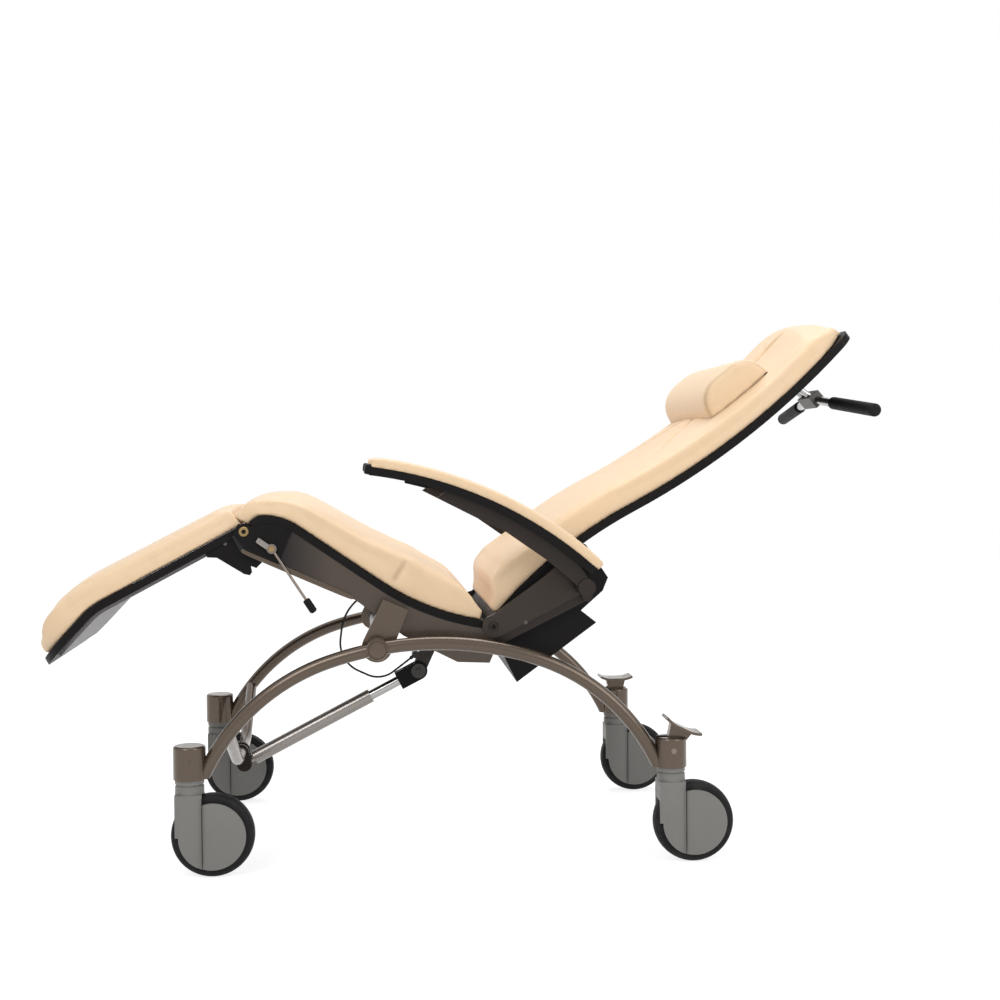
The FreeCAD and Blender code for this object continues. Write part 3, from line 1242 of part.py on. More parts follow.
fork_blank = pad("fork_blank", chain([(-fork_half, gas_length), (-fork_half, fork_root),
                                      (fork_half, fork_root), (fork_half, gas_length)])
                 + [Part.Arc(Vector(fork_half, gas_length, 0), Vector(0, gas_length + fork_half, 0),
                             Vector(-fork_half, gas_length, 0)),
                    circle(0, gas_length, pin_radius + dims.gas_slack)], fork_outer,
                 "dims.pin_diameter + 2 * (dims.layer_gap + dims.gas_fork_cheek)")
fork_slot = box("fork_slot", Vector(-2 * fork_half, -fork_inner, fork_floor),
                Vector(2 * fork_half, fork_inner, gas_length + 2 * fork_half))
fork_socket = cylinder("fork_socket", "dims.gas_rod", "dims.gas_fork_width", Vector(0, 0, fork_root), Z_AXIS)
node("gas_fork", cut("fork", fork_blank, fuse("fork_tools", fork_slot, fork_socket)), gas_place)

doc.recompute()
os.makedirs("parts", exist_ok=True)
for made in nodes:
    if "Invalid" in made.State or "Error" in made.State or made.Shape.isNull() or not made.Shape.isValid():
        raise RuntimeError("%s did not build: %s" % (made.Label, made.State))
    made.Shape.exportStep("parts/%s.step" % made.Label)
print("%d pieces; gas spring %.1f long" % (len(nodes), gas_length))
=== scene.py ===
import json
import math

import bmesh
import bpy
import numpy as np
from mathutils import Matrix, Vector


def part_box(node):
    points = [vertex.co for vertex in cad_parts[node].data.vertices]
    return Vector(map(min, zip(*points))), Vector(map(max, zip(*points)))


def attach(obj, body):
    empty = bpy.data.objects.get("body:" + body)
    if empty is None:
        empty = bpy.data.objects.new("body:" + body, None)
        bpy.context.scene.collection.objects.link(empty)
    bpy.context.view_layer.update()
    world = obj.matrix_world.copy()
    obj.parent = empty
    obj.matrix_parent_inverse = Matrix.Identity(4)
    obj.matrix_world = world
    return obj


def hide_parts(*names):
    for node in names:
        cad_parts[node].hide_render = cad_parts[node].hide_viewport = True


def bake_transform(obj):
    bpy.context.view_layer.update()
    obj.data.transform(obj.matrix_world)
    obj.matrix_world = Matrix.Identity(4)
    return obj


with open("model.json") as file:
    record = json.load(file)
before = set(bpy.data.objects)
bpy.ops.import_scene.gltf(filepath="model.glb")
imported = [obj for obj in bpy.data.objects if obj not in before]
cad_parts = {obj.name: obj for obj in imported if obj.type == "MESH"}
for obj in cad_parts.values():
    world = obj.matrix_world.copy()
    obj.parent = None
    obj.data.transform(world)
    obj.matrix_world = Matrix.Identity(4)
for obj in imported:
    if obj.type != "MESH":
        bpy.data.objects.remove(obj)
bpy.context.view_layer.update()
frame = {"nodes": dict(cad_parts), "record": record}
scene = bpy.context.scene
print("frame loaded:", len(frame["nodes"]), "nodes")

# camera: a plain perspective view from the sitter's left, turned a little toward the head
cameraView = {
    "spot": (-0.1336, -3.005, 0.7463), "yaw": 5.459, "pitch": -1.542, "roll": -0.405,
    "lens": 53.55, "film": 36.0, "clip": (0.05, 60.0),
}


def makeCamera(view):
    yaw, pitch, roll = (math.radians(view[k]) for k in ("yaw", "pitch", "roll"))
    ahead = Vector((math.sin(yaw) * math.cos(pitch), math.cos(yaw) * math.cos(pitch), math.sin(pitch)))
    level = Vector((math.cos(yaw), -math.sin(yaw), 0))
    above = level.cross(ahead)
    right = level * math.cos(roll) + above * math.sin(roll)
    up = above * math.cos(roll) - level * math.sin(roll)
    data = bpy.data.cameras.new("camera")
    data.lens, data.sensor_width = view["lens"], view["film"]
    data.clip_start, data.clip_end = view["clip"]
    cam = bpy.data.objects.new("camera", data)
    turn = Matrix((right, up, -ahead)).transposed().to_4x4()
    cam.matrix_world = Matrix.Translation(Vector(view["spot"])) @ turn
    scene.collection.objects.link(cam)
    scene.camera = cam


makeCamera(cameraView)

# studio: pale floor, even sky, three soft lamps
studio = {
    "sky": 0.5, "floorPale": 0.86, "floorShare": 0.5, "floorGlow": 1.6, "floorReach": 14.0,
    "aim": (0.1, 0, 0.55),
    "lamps": [
        ("keyLamp", (-1.6, -2.6, 2.9), 2.0, 43.0),
        ("fillLamp", (2.2, -2.2, 1.9), 2.0, 27.0),
        ("topLamp", (0.2, 0.7, 3.2), 2.2, 46.0),
    ],
}


def backdropMix(nodes, links, lit, plain):
    # camera, mirror and glass rays see the plain white; everything else sees the lit shader
    rays = nodes.new("ShaderNodeLightPath")
    seen = nodes.new("ShaderNodeMath")
    seen.operation = "MAXIMUM"
    also = nodes.new("ShaderNodeMath")
    also.operation = "MAXIMUM"
    links.new(rays.outputs["Is Camera Ray"], seen.inputs[0])
    links.new(rays.outputs["Is Glossy Ray"], seen.inputs[1])
    links.new(seen.outputs[0], also.inputs[0])
    links.new(rays.outputs["Is Transmission Ray"], also.inputs[1])
    mix = nodes.new("ShaderNodeMixShader")
    links.new(also.outputs[0], mix.inputs[0])
    links.new(lit.outputs[0], mix.inputs[1])
    links.new(plain.outputs[0], mix.inputs[2])
    return mix


def makeStudio(s):
    world = bpy.data.worlds.new("studio")
    scene.world = world
    world.use_nodes = True
    nodes, links = world.node_tree.nodes, world.node_tree.links
    nodes.clear()
    lit, plain = nodes.new("ShaderNodeBackground"), nodes.new("ShaderNodeBackground")
    lit.inputs["Color"].default_value = (1.0, 0.99, 0.97, 1)
    lit.inputs["Strength"].default_value = s["sky"]
    plain.inputs["Color"].default_value = (1, 1, 1, 1)
    plain.inputs["Strength"].default_value = 1.0
    out = nodes.new("ShaderNodeOutputWorld")
    links.new(backdropMix(nodes, links, lit, plain).outputs[0], out.inputs["Surface"])

    mat = bpy.data.materials.new("paleFloor")
    mat.use_nodes = True
    nodes, links = mat.node_tree.nodes, mat.node_tree.links
    nodes.clear()
    lit = nodes.new("ShaderNodeBsdfDiffuse")
    lit.inputs["Color"].default_value = (s["floorPale"],) * 3 + (1,)
    glow = nodes.new("ShaderNodeEmission")
    glow.inputs["Color"].default_value = (1, 1, 1, 1)
    glow.inputs["Strength"].default_value = s["floorGlow"]
    half = nodes.new("ShaderNodeMixShader")
    half.inputs[0].default_value = s["floorShare"]
    links.new(lit.outputs[0], half.inputs[1])
    links.new(glow.outputs[0], half.inputs[2])
    out = nodes.new("ShaderNodeOutputMaterial")
    links.new(backdropMix(nodes, links, lit, half).outputs[0], out.inputs["Surface"])
    mesh = bpy.data.meshes.new("floor")
    r = s["floorReach"]
    mesh.from_pydata([(-r, -r, 0), (r, -r, 0), (r, r, 0), (-r, r, 0)], [], [(0, 1, 2, 3)])
    mesh.materials.append(mat)
    floor = bpy.data.objects.new("floor", mesh)
    scene.collection.objects.link(floor)

    for name, spot, size, power in s["lamps"]:
        data = bpy.data.lights.new(name, "AREA")
        data.shape, data.size, data.energy = "DISK", size, power
        lamp = bpy.data.objects.new(name, data)
        lamp.location = spot
        toward = Vector(s["aim"]) - Vector(spot)
        lamp.rotation_euler = toward.to_track_quat("-Z", "Y").to_euler()
        scene.collection.objects.link(lamp)
    scene.view_settings.view_transform = "Standard"


makeStudio(studio)
print("camera and studio ready")

# finishes


class Finish:
    # a node material with one Principled shader and a bump chain
    def __init__(self, name, color, rough, metal=0.0, specular=0.5):
        self.mat = bpy.data.materials.new(name)
        self.mat.use_nodes = True
        self.nodes, self.links = self.mat.node_tree.nodes, self.mat.node_tree.links
        self.shader = self.nodes["Principled BSDF"]
        self.color = tuple(color) + (1,)
        self.shader.inputs["Base Color"].default_value = self.color
        self.shader.inputs["Roughness"].default_value = rough
        self.shader.inputs["Metallic"].default_value = metal
        self.shader.inputs["Specular IOR Level"].default_value = specular
        self.coords = self.nodes.new("ShaderNodeTexCoord")
        self.bumped = None

    def add(self, kind, **values):
        node = self.nodes.new(kind)
        for key, value in values.items():
            socket = node.inputs.get(key)
            if socket is None:
                setattr(node, key, value)
            else:
                socket.default_value = value
        return node

    def spots(self, stretch):
        # Object coordinates, stretched
        mapping = self.add("ShaderNodeMapping", Scale=stretch)
        self.links.new(self.coords.outputs["Object"], mapping.inputs["Vector"])
        return mapping.outputs["Vector"]

    def noise(self, scale, detail=3.0, stretch=(1, 1, 1)):
        node = self.add("ShaderNodeTexNoise", Scale=scale, Detail=detail)
        self.links.new(self.spots(stretch), node.inputs["Vector"])
        return node.outputs["Fac"]

    def grain(self, scale):
        # distance to the nearest edge of a net of small cells
        node = self.add("ShaderNodeTexVoronoi", Scale=scale, feature="DISTANCE_TO_EDGE")
        self.links.new(self.spots((1, 1, 1)), node.inputs["Vector"])
        return node.outputs["Distance"]

    def band(self, value, low, high, toLow=0.0, toHigh=1.0):
        node = self.add("ShaderNodeMapRange")
        ends = {"From Min": low, "From Max": high, "To Min": toLow, "To Max": toHigh}
        for slot, number in ends.items():
            node.inputs[slot].default_value = number
        self.links.new(value, node.inputs["Value"])
        return node.outputs["Result"]

    def tint(self, fac, other, share=1.0):
        # carries the base colour toward another one where fac is high
        mix = self.nodes.new("ShaderNodeMix")
        mix.data_type = "RGBA"
        socket = self.shader.inputs["Base Color"]
        if socket.is_linked:
            self.links.new(socket.links[0].from_socket, mix.inputs[6])
        else:
            mix.inputs[6].default_value = self.color
        mix.inputs[7].default_value = tuple(other) + (1,)
        if share != 1.0:
            fac = self.band(fac, 0, 1, 0, share)
        self.links.new(fac, mix.inputs[0])
        self.links.new(mix.outputs[2], socket)

    def roughen(self, fac, low, high):
        self.links.new(self.band(fac, 0.25, 0.75, low, high), self.shader.inputs["Roughness"])

    def bump(self, height, depth, strength=1.0):
        node = self.add("ShaderNodeBump", Strength=strength, Distance=depth)
        self.links.new(height, node.inputs["Height"])
        if self.bumped is not None:
            self.links.new(self.bumped, node.inputs["Normal"])
        self.bumped = node.outputs["Normal"]
        self.links.new(self.bumped, self.shader.inputs["Normal"])

    def axis(self, letter):
        split = self.add("ShaderNodeSeparateXYZ")
        self.links.new(self.coords.outputs["Object"], split.inputs["Vector"])
        return split.outputs[letter]

    def attribute(self, name):
        return self.add("ShaderNodeAttribute", attribute_name=name).outputs["Fac"]


def creamLeather():
    f = Finish("creamLeather", (0.8, 0.58, 0.365), 0.5, specular=0.42)
    f.tint(f.noise(5.5, 4.0), (0.85, 0.64, 0.425), 0.8)
    f.tint(f.band(f.noise(38.0, 5.0), 0.5, 0.72), (0.73, 0.515, 0.315), 0.3)
    # painted shade: the seams' grooves, and the pillow's foot where it sits on the cushion, darken toward
    # deep brown
    f.tint(f.attribute("seam"), (0.2, 0.115, 0.055), 0.9)
    f.roughen(f.noise(60.0, 3.0), 0.44, 0.58)
    f.bump(f.grain(620.0), 0.0006, 0.35)
    f.bump(f.noise(240.0, 4.0), 0.0007, 0.25)
    f.shader.inputs["Sheen Weight"].default_value = 0.28
    f.shader.inputs["Sheen Roughness"].default_value = 0.45
    return f.mat


def metalCoat(name, color, light, metal=0.6, rough=0.23, coat=0.3, frontDark=None):
    # flake in the lacquer, slow patches of wear, a thin clear coat
    f = Finish(name, color, rough, metal=metal, specular=0.4)
    f.tint(f.noise(2600.0, 2.0), light, 0.4)
    f.tint(f.noise(7.0, 3.0), tuple(c * 0.8 for c in color), 0.5)
    f.roughen(f.noise(90.0, 3.0), rough - 0.06, rough + 0.08)
    f.bump(f.noise(420.0, 2.0), 0.0003, 0.18)
    if frontDark is not None:  # in front of this X the coat fades to black
        ahead = f.band(f.axis("X"), frontDark - 0.05, frontDark + 0.04, 1.0, 0.0)
        f.tint(ahead, (0.008, 0.007, 0.007))
    f.shader.inputs["Coat Weight"].default_value = coat
    f.shader.inputs["Coat Roughness"].default_value = 0.1
    return f.mat


def mouldedPlastic(name, color, light, rough, grain=900.0, specular=0.3):
    f = Finish(name, color, rough, specular=specular)
    f.tint(f.noise(14.0, 4.0), light, 0.6)
    f.roughen(f.noise(120.0, 4.0), rough - 0.06, rough + 0.1)
    f.bump(f.noise(grain, 3.0), 0.0004, 0.3)
    return f.mat


def tyreRubber():
    f = Finish("tyreRubber", (0.011, 0.0105, 0.011), 0.6, specular=0.22)
    f.tint(f.band(f.noise(26.0, 6.0), 0.52, 0.75), (0.04, 0.038, 0.036), 0.8)
    f.roughen(f.noise(80.0, 4.0), 0.52, 0.74)
    f.bump(f.noise(700.0, 3.0), 0.0005, 0.35)
    return f.mat


def brushedMetal(name, color, rough, metal, stretch):
    f = Finish(name, color, rough, metal=metal)
    f.tint(f.noise(18.0, 5.0), tuple(c * 0.82 for c in color), 0.6)
    f.roughen(f.noise(300.0, 4.0, stretch), rough - 0.06, rough + 0.1)
    f.bump(f.noise(500.0, 3.0, stretch), 0.0002, 0.08)
    return f.mat


def brassPins():
    # brass heads at the knee; the pins near the middle and at the back hinge are dark steel
    f = Finish("brassPins", (0.36, 0.255, 0.115), 0.34, metal=1.0)
    f.tint(f.noise(60.0, 4.0), (0.24, 0.165, 0.075), 0.7)
    aside = f.add("ShaderNodeMath", operation="ABSOLUTE")
    f.links.new(f.axis("Y"), aside.inputs[0])
    f.tint(f.band(aside.outputs[0], 0.12, 0.13, 1.0, 0.0), (0.05, 0.048, 0.046))
    f.tint(f.band(f.axis("X"), 0.0, 0.01), (0.04, 0.033, 0.028))
    f.roughen(f.noise(200.0, 3.0), 0.28, 0.44)
    return f.mat


finishes = {
    "upholstery": creamLeather(),
    "bronze": metalCoat("bronzeCoat", (0.098, 0.071, 0.051), (0.17, 0.128, 0.094)),
    "caster_grey": mouldedPlastic(
        "casterPlastic", (0.2, 0.193, 0.183), (0.245, 0.237, 0.226), 0.42, 1400.0),
    "wheel_grey": mouldedPlastic(
        "wheelPlastic", (0.17, 0.166, 0.16), (0.21, 0.205, 0.198), 0.48, 1200.0),
    "tyre": tyreRubber(),
    "steel": brushedMetal("brushedSteel", (0.42, 0.41, 0.4), 0.34, 1.0, (1, 6, 1)),
    "silver": brushedMetal("silverCoat", (0.3, 0.275, 0.255), 0.26, 0.85, (1, 1, 1)),
    "chrome": brushedMetal("polishedChrome", (0.42, 0.41, 0.4), 0.13, 1.0, (1, 3, 1)),
    "brass": brassPins(),
    "black_plastic": mouldedPlastic(
        "blackPanel", (0.007, 0.006, 0.006), (0.013, 0.012, 0.012), 0.42, specular=0.1),
    "shell_grey": mouldedPlastic(
        "shellPlastic", (0.2, 0.187, 0.2), (0.26, 0.245, 0.258), 0.42, 1100.0),
    "clamp_grey": brushedMetal("castClamp", (0.1, 0.092, 0.086), 0.42, 0.85, (1, 1, 1)),
    "grip_rubber": mouldedPlastic(
        "gripRubber", (0.008, 0.008, 0.009), (0.02, 0.02, 0.02), 0.6, 1800.0, 0.14),
    "cable_black": mouldedPlastic(
        "cableJacket", (0.01, 0.009, 0.009), (0.022, 0.02, 0.018), 0.46, 2000.0, 0.25),
}
# darker coats of single bronze pieces, and worn bare metal
plateColors = ((0.072, 0.053, 0.041), (0.12, 0.091, 0.071))
smoked = metalCoat("smokedBronze", *plateColors, 0.6, 0.34)
plateCoat = metalCoat("plateBronze", *plateColors, 0.6, 0.34, frontDark=-0.222)
dusk = metalCoat("duskBronze", (0.021, 0.0145, 0.011), (0.042, 0.031, 0.025), 0.5, 0.38, 0.1)
worn = brushedMetal("wornRod", (0.23, 0.19, 0.165), 0.3, 1.0, (1, 1, 1))
umber = metalCoat("umberBronze", (0.034, 0.0245, 0.019), (0.062, 0.047, 0.037), 0.55, 0.36, 0.12)
ownFinish = {
    "seat_side_plates": plateCoat, "back_arms": umber, "seat_cross_bars": smoked,
    "gas_bracket": dusk, "gas_foot": dusk,
    "armrest_bar_left": dusk, "armrest_bar_right": dusk,
    "armrest_link_left": dusk, "armrest_link_right": dusk,
    "lever_rod": worn, "pedal_pins": worn,
}
for part in frame["record"]["subparts"]:
    node = frame["nodes"][part["node"]]
    node.data.materials.clear()
    node.data.materials.append(ownFinish.get(part["node"], finishes[part["material_slot"]]))

# frames of the cushioned pieces: origin, lean about Y in degrees, and the line of the panel under them
carriers = {
    "seat": {
        "origin": (-0.101094, 0.404422), "lean": 24.0, "start": (-0.30489, 0.11177), "heading": 80.0,
        "line": [("run", 0.003), ("bend", 0.030, -55.0), ("bend", 0.110, -35.5), ("run", 0.18406),
                 ("bend", 0.460, 25.5)]},
    "leg": {
        "origin": (-0.342078, 0.618442), "lean": -28.0, "start": (-0.44164, -0.032955), "heading": 19.0,
        "line": [("run", 0.118), ("bend", 0.120, -19.0), ("run", 0.282)]},
    "back": {
        "origin": (0.114902, 0.437422), "lean": -36.0, "start": (0.0, 0.008), "heading": 14.5,
        "line": [("bend", 0.860, -23.0), ("bend", 1.5, 21.8)]},
    "armrest": {
        "origin": (0.280920, 0.512430), "lean": 0.0, "start": (-0.399, 0.2285), "heading": -6.7,
        "line": [("bend", 0.755, -36.0)]},
}


class PanelLine:
    # a line of straight runs and tangent arcs: heading turns by length over radius along each piece
    def __init__(self, carrier, step=0.002):
        x, z = carrier["start"]
        turn = math.radians(carrier["heading"])
        rows, done = [], 0.0
        for piece in carrier["line"]:
            if piece[0] == "run":
                length, bend = piece[1], 0.0
            else:
                length = piece[1] * math.radians(abs(piece[2]))
                bend = math.copysign(1 / piece[1], piece[2])
            d = np.linspace(0, length, max(2, int(length / step)))
            angle = turn + bend * d
            if bend:
                px = x + (np.sin(angle) - math.sin(turn)) / bend
                pz = z - (np.cos(angle) - math.cos(turn)) / bend
            else:
                px, pz = x + d * math.cos(turn), z + d * math.sin(turn)
            rows.append(np.stack([done + d, px, pz, angle], axis=1))
            x, z, turn, done = px[-1], pz[-1], angle[-1], done + length
        table = np.concatenate(rows)
        keep = np.concatenate([[True], np.diff(table[:, 0]) > 1e-9])
        self.table = table[keep]
        self.length = done
        self.turn = math.radians(carrier["lean"])
        self.origin = carrier["origin"]

    def world(self, s, y, h):
        # a point s along the line, y across it and h above it, in the row frame
        t = self.table
        run = np.clip(s, 0, self.length)
        x, z, angle = (np.interp(run, t[:, 0], t[:, k]) for k in (1, 2, 3))
        over = s - run  # past an end the line goes straight on
        x = x + over * np.cos(angle) - h * np.sin(angle)
        z = z + over * np.sin(angle) + h * np.cos(angle)
        return self.place(x, y, z)

    def place(self, x, y, z):
        # from the carrier's own frame, which leans about Y, into the row frame
        c, n = math.cos(self.turn), math.sin(self.turn)
        return np.stack([self.origin[0] + x * c + z * n, y + 0 * x, self.origin[1] - x * n + z * c], axis=-1)

    def local(self, points, batches=40):
        # the nearest place on the line gives s, and the offset from it gives h
        c, n = math.cos(self.turn), math.sin(self.turn)
        dx, dz = points[:, 0] - self.origin[0], points[:, 2] - self.origin[1]
        x, z = dx * c - dz * n, dx * n + dz * c
        t = self.table
        near = np.concatenate([
            np.argmin((xs[:, None] - t[None, :, 1]) ** 2 + (zs[:, None] - t[None, :, 2]) ** 2, axis=1)
            for xs, zs in zip(np.array_split(x, batches), np.array_split(z, batches))])
        s, px, pz, angle = t[near].T
        s = s + (x - px) * np.cos(angle) + (z - pz) * np.sin(angle)
        h = -(x - px) * np.sin(angle) + (z - pz) * np.cos(angle)
        return s, points[:, 1].copy(), h


lines = {name: PanelLine(carrier) for name, carrier in carriers.items()}


def gridObject(name, points, material, poles=False):
    # rows of closed loops become quads; the first and last row are capped, or drawn together to a pole
    nu, nv = points.shape[:2]
    a, b = np.meshgrid(np.arange(nu - 1), np.arange(nv), indexing="ij")
    b2 = (b + 1) % nv
    quads = np.stack([a * nv + b, (a + 1) * nv + b, (a + 1) * nv + b2, a * nv + b2], axis=-1)
    quads = quads.reshape(-1, 4)
    flat = points.reshape(-1, 3)
    # the sum over the faces of centre times area vector is positive where they point outwards
    corner = flat[quads]
    areas = np.cross(corner[:, 2] - corner[:, 0], corner[:, 3] - corner[:, 1])
    outward = np.sum((corner.mean(axis=1) - flat.mean(axis=0)) * areas) > 0
    if poles:
        ring = np.arange(nv)
        after = (ring + 1) % nv
        last, end = (nu - 2) * nv, (nu - 1) * nv
        quads = quads[nv:-nv]
        tips = np.concatenate([np.stack([0 * ring, nv + ring, nv + after], axis=1),
                               np.stack([last + ring, end + 0 * ring, last + after], axis=1)])
        faces = quads.tolist() + tips.tolist()
    else:
        faces = quads.tolist() + [list(range(nv)), list(range((nu - 1) * nv, nu * nv))[::-1]]
    if not outward:
        faces = [face[::-1] for face in faces]
    mesh = bpy.data.meshes.new(name)
    mesh.from_pydata(flat.tolist(), [], faces)
    if poles:
        dropLoose(mesh)
    mesh.validate()
    mesh.update()
    mesh.materials.append(material)
    made = bpy.data.objects.new(name, mesh)
    scene.collection.objects.link(made)
    return made


def dropLoose(mesh):
    # takes out the spare points of a pole's row, which no face uses
    work = bmesh.new()
    work.from_mesh(mesh)
    bmesh.ops.delete(work, geom=[v for v in work.verts if not v.link_faces], context="VERTS")
    work.to_mesh(mesh)
    work.free()


def meshPoints(mesh):
    flat = np.zeros(len(mesh.vertices) * 3, np.float32)
    mesh.vertices.foreach_get("co", flat)
    return flat.reshape(-1, 3).astype(float)


def setPoints(mesh, points):
    mesh.vertices.foreach_set("co", points.astype(np.float32).ravel())
    mesh.update()


def meshNormals(mesh):
    flat = np.zeros(len(mesh.vertices) * 3, np.float32)
    mesh.vertices.foreach_get("normal", flat)
    return flat.reshape(-1, 3).astype(float)


def bakeModifiers(made):
    # the evaluated mesh takes the place of the object's own
    graph = bpy.context.evaluated_depsgraph_get()
    mesh = bpy.data.meshes.new_from_object(made.evaluated_get(graph))
    old = made.data
    made.modifiers.clear()
    made.data = mesh
    mesh.name = made.name
    bpy.data.meshes.remove(old)


def remesh(made, voxel):
    mod = made.modifiers.new("remesh", "REMESH")
    mod.mode, mod.voxel_size, mod.use_smooth_shade = "VOXEL", voxel, True
    bakeModifiers(made)


# the covers' cloth, the frames it swells for and the passes that even it out
coverCloth = {"quality": 4, "mass": 0.3, "stiff": 12.0, "bend": 0.6, "frames": 20, "passes": 14}


def evenOut(mesh, moved, passes):
    # each pass takes every point's move halfway to the mean of its neighbours' moves, so no pucker is left
    ends = np.zeros(len(mesh.edges) * 2, np.int32)
    mesh.edges.foreach_get("vertices", ends)
    first, second = ends.reshape(-1, 2).T
    count = np.bincount(ends, minlength=len(moved))[:, None]
    for _ in range(passes):
        total = np.zeros_like(moved)
        np.add.at(total, first, moved[second])
        np.add.at(total, second, moved[first])
        moved = (moved + total / count) / 2
    return moved


def stuff(made, held, pressure, cap):
    # air pressure swells the cover, held points stay, and no point moves further than the cap
    rest = meshPoints(made.data)
    group = made.vertex_groups.new(name="held")
    for weight in np.unique(held):
        if weight > 0:
            group.add(np.nonzero(held == weight)[0].tolist(), float(weight), "REPLACE")
    cloth = made.modifiers.new("cloth", "CLOTH")
    cover = cloth.settings
    cover.vertex_group_mass = "held"
    cover.use_pressure = True
    cover.uniform_pressure_force = pressure
    cover.quality, cover.mass = coverCloth["quality"], coverCloth["mass"]
    cover.tension_stiffness = cover.compression_stiffness = coverCloth["stiff"]
    cover.bending_stiffness = coverCloth["bend"]
    cover.effector_weights.gravity = 0.0
    cloth.collision_settings.use_self_collision = False
    cloth.collision_settings.use_collision = False
    for f in range(1, coverCloth["frames"] + 1):
        scene.frame_set(f)
    bakeModifiers(made)
    made.vertex_groups.clear()
    moved = evenOut(made.data, meshPoints(made.data) - rest, coverCloth["passes"])
    reach = np.linalg.norm(moved, axis=1, keepdims=True)
    setPoints(made.data, rest + moved * np.minimum(1.0, cap / np.maximum(reach, 1e-9)))
    scene.frame_set(1)


def edgeLoop(half, height, topRound, footRound, count, arcSteps=7, riseSteps=6):
    # a rounded rectangle: foot, right side, top and left side, with quarter arcs between them
    arc = np.linspace(0, math.pi / 2, arcSteps)
    y = [np.linspace(-1, 1, count)[None, :] * (half - footRound)[:, None]]
    z = [np.zeros((len(half), count))]
    y.append((half - footRound)[:, None] + footRound * np.sin(arc)[None, :])
    z.append(footRound * (1 - np.cos(arc))[None, :] + 0 * half[:, None])
    rise = np.linspace(0, 1, riseSteps)[None, 1:-1]
    y.append(half[:, None] + 0 * rise)
    z.append(footRound + (height - topRound - footRound)[:, None] * rise)
    y.append((half - topRound)[:, None] + topRound * np.cos(arc)[None, :])
    z.append((height - topRound)[:, None] + topRound * np.sin(arc)[None, :])
    y.append(np.linspace(1, -1, count)[None, 1:-1] * (half - topRound)[:, None])
    z.append(height[:, None] + np.zeros((len(half), count - 2)))
    y.append(-(half - topRound)[:, None] - topRound * np.sin(arc)[None, :])
    z.append((height - topRound)[:, None] + topRound * np.cos(arc)[None, :])
    y.append(-half[:, None] + 0 * rise)
    z.append(height[:, None] - topRound - (height - topRound - footRound)[:, None] * rise)
    y.append(-(half - footRound)[:, None] - footRound * np.cos(arc)[None, :])
    z.append(footRound * (1 - np.sin(arc))[None, :] + 0 * half[:, None])
    return np.concatenate(y, axis=1), np.concatenate(z, axis=1)


def cushionShell(name, line, spec, material):
    # sections along the panel line: height, crown and half width follow the stations, ends are rounded over
    rows, tips, across = 140, 5, 40  # sections along it, in the rounding of each end, and points across
    at, height, crown, half = np.array(spec["stations"]).T
    s = np.linspace(at[0], at[-1], rows)
    reach = max(1, round(spec["ease"] / (s[1] - s[0]) / 2))  # samples to each side that are averaged
    smooth = np.ones(2 * reach + 1) / (2 * reach + 1)
    values = []
    for row in (height, crown, half):
        dense = np.interp(s, at, row)
        padded = np.concatenate([np.full(reach, dense[0]), dense, np.full(reach, dense[-1])])
        values.append(np.convolve(padded, smooth, mode="valid"))
    height, crown, half = values
    lip = spec["lip"]
    rise = np.linspace(0, math.pi / 2, tips + 1)[:-1]
    fall = rise + math.pi / 2 / tips
    s = np.concatenate([s[0] - lip * np.cos(rise), s, s[-1] + lip * np.sin(fall)])
    inset = np.concatenate([lip * (1 - np.sin(rise)), np.zeros(rows), lip * (1 - np.cos(fall))])
    pick = np.concatenate([np.zeros(tips, int), np.arange(rows), np.full(tips, rows - 1)])
    height, crown, half = height[pick] - inset, crown[pick], half[pick] - inset
    y, z = edgeLoop(half, height, spec["topRound"], spec["footRound"], across)
    share = np.clip(z / height[:, None], 0, 1)
    z = z + share * crown[:, None] * (1 - (y / half[:, None]) ** 2)
    z = z + spec["clear"]
    front = 0.03  # the lean fades out over this length
    s = s[:, None] - spec["frontLean"] * z * fade(at[0] + front - s, 0, front)[:, None]
    points = line.world(s, y, z)
    return gridObject(name, points, material)


def groove(distance, width):
    # a smooth valley, 1 on the line and 0 past its width
    t = np.clip(1 - np.abs(distance) / width, 0, 1)
    return t * t * (3 - 2 * t)


def fade(value, low, high):
    t = np.clip((value - low) / (high - low), 0, 1)
    return t * t * (3 - 2 * t)


def sew(made, pull, mark):
    # pulls the cover in along its seams and stores a painted-shade mark for the finish, which darkens the
    # cover there
    mesh = made.data
    setPoints(mesh, meshPoints(mesh) - meshNormals(mesh) * pull[:, None])
    layer = mesh.attributes.new("seam", "FLOAT", "POINT")
    layer.data.foreach_set("value", mark.astype(np.float32))
    smoothFaces(mesh)


def smoothFaces(mesh):
    mesh.polygons.foreach_set("use_smooth", np.ones(len(mesh.polygons), bool))


def roundOff(made):
    mod = made.modifiers.new("roundOff", "SUBSURF")
    mod.levels = mod.render_levels = 1


def settle(node):
    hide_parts(node)


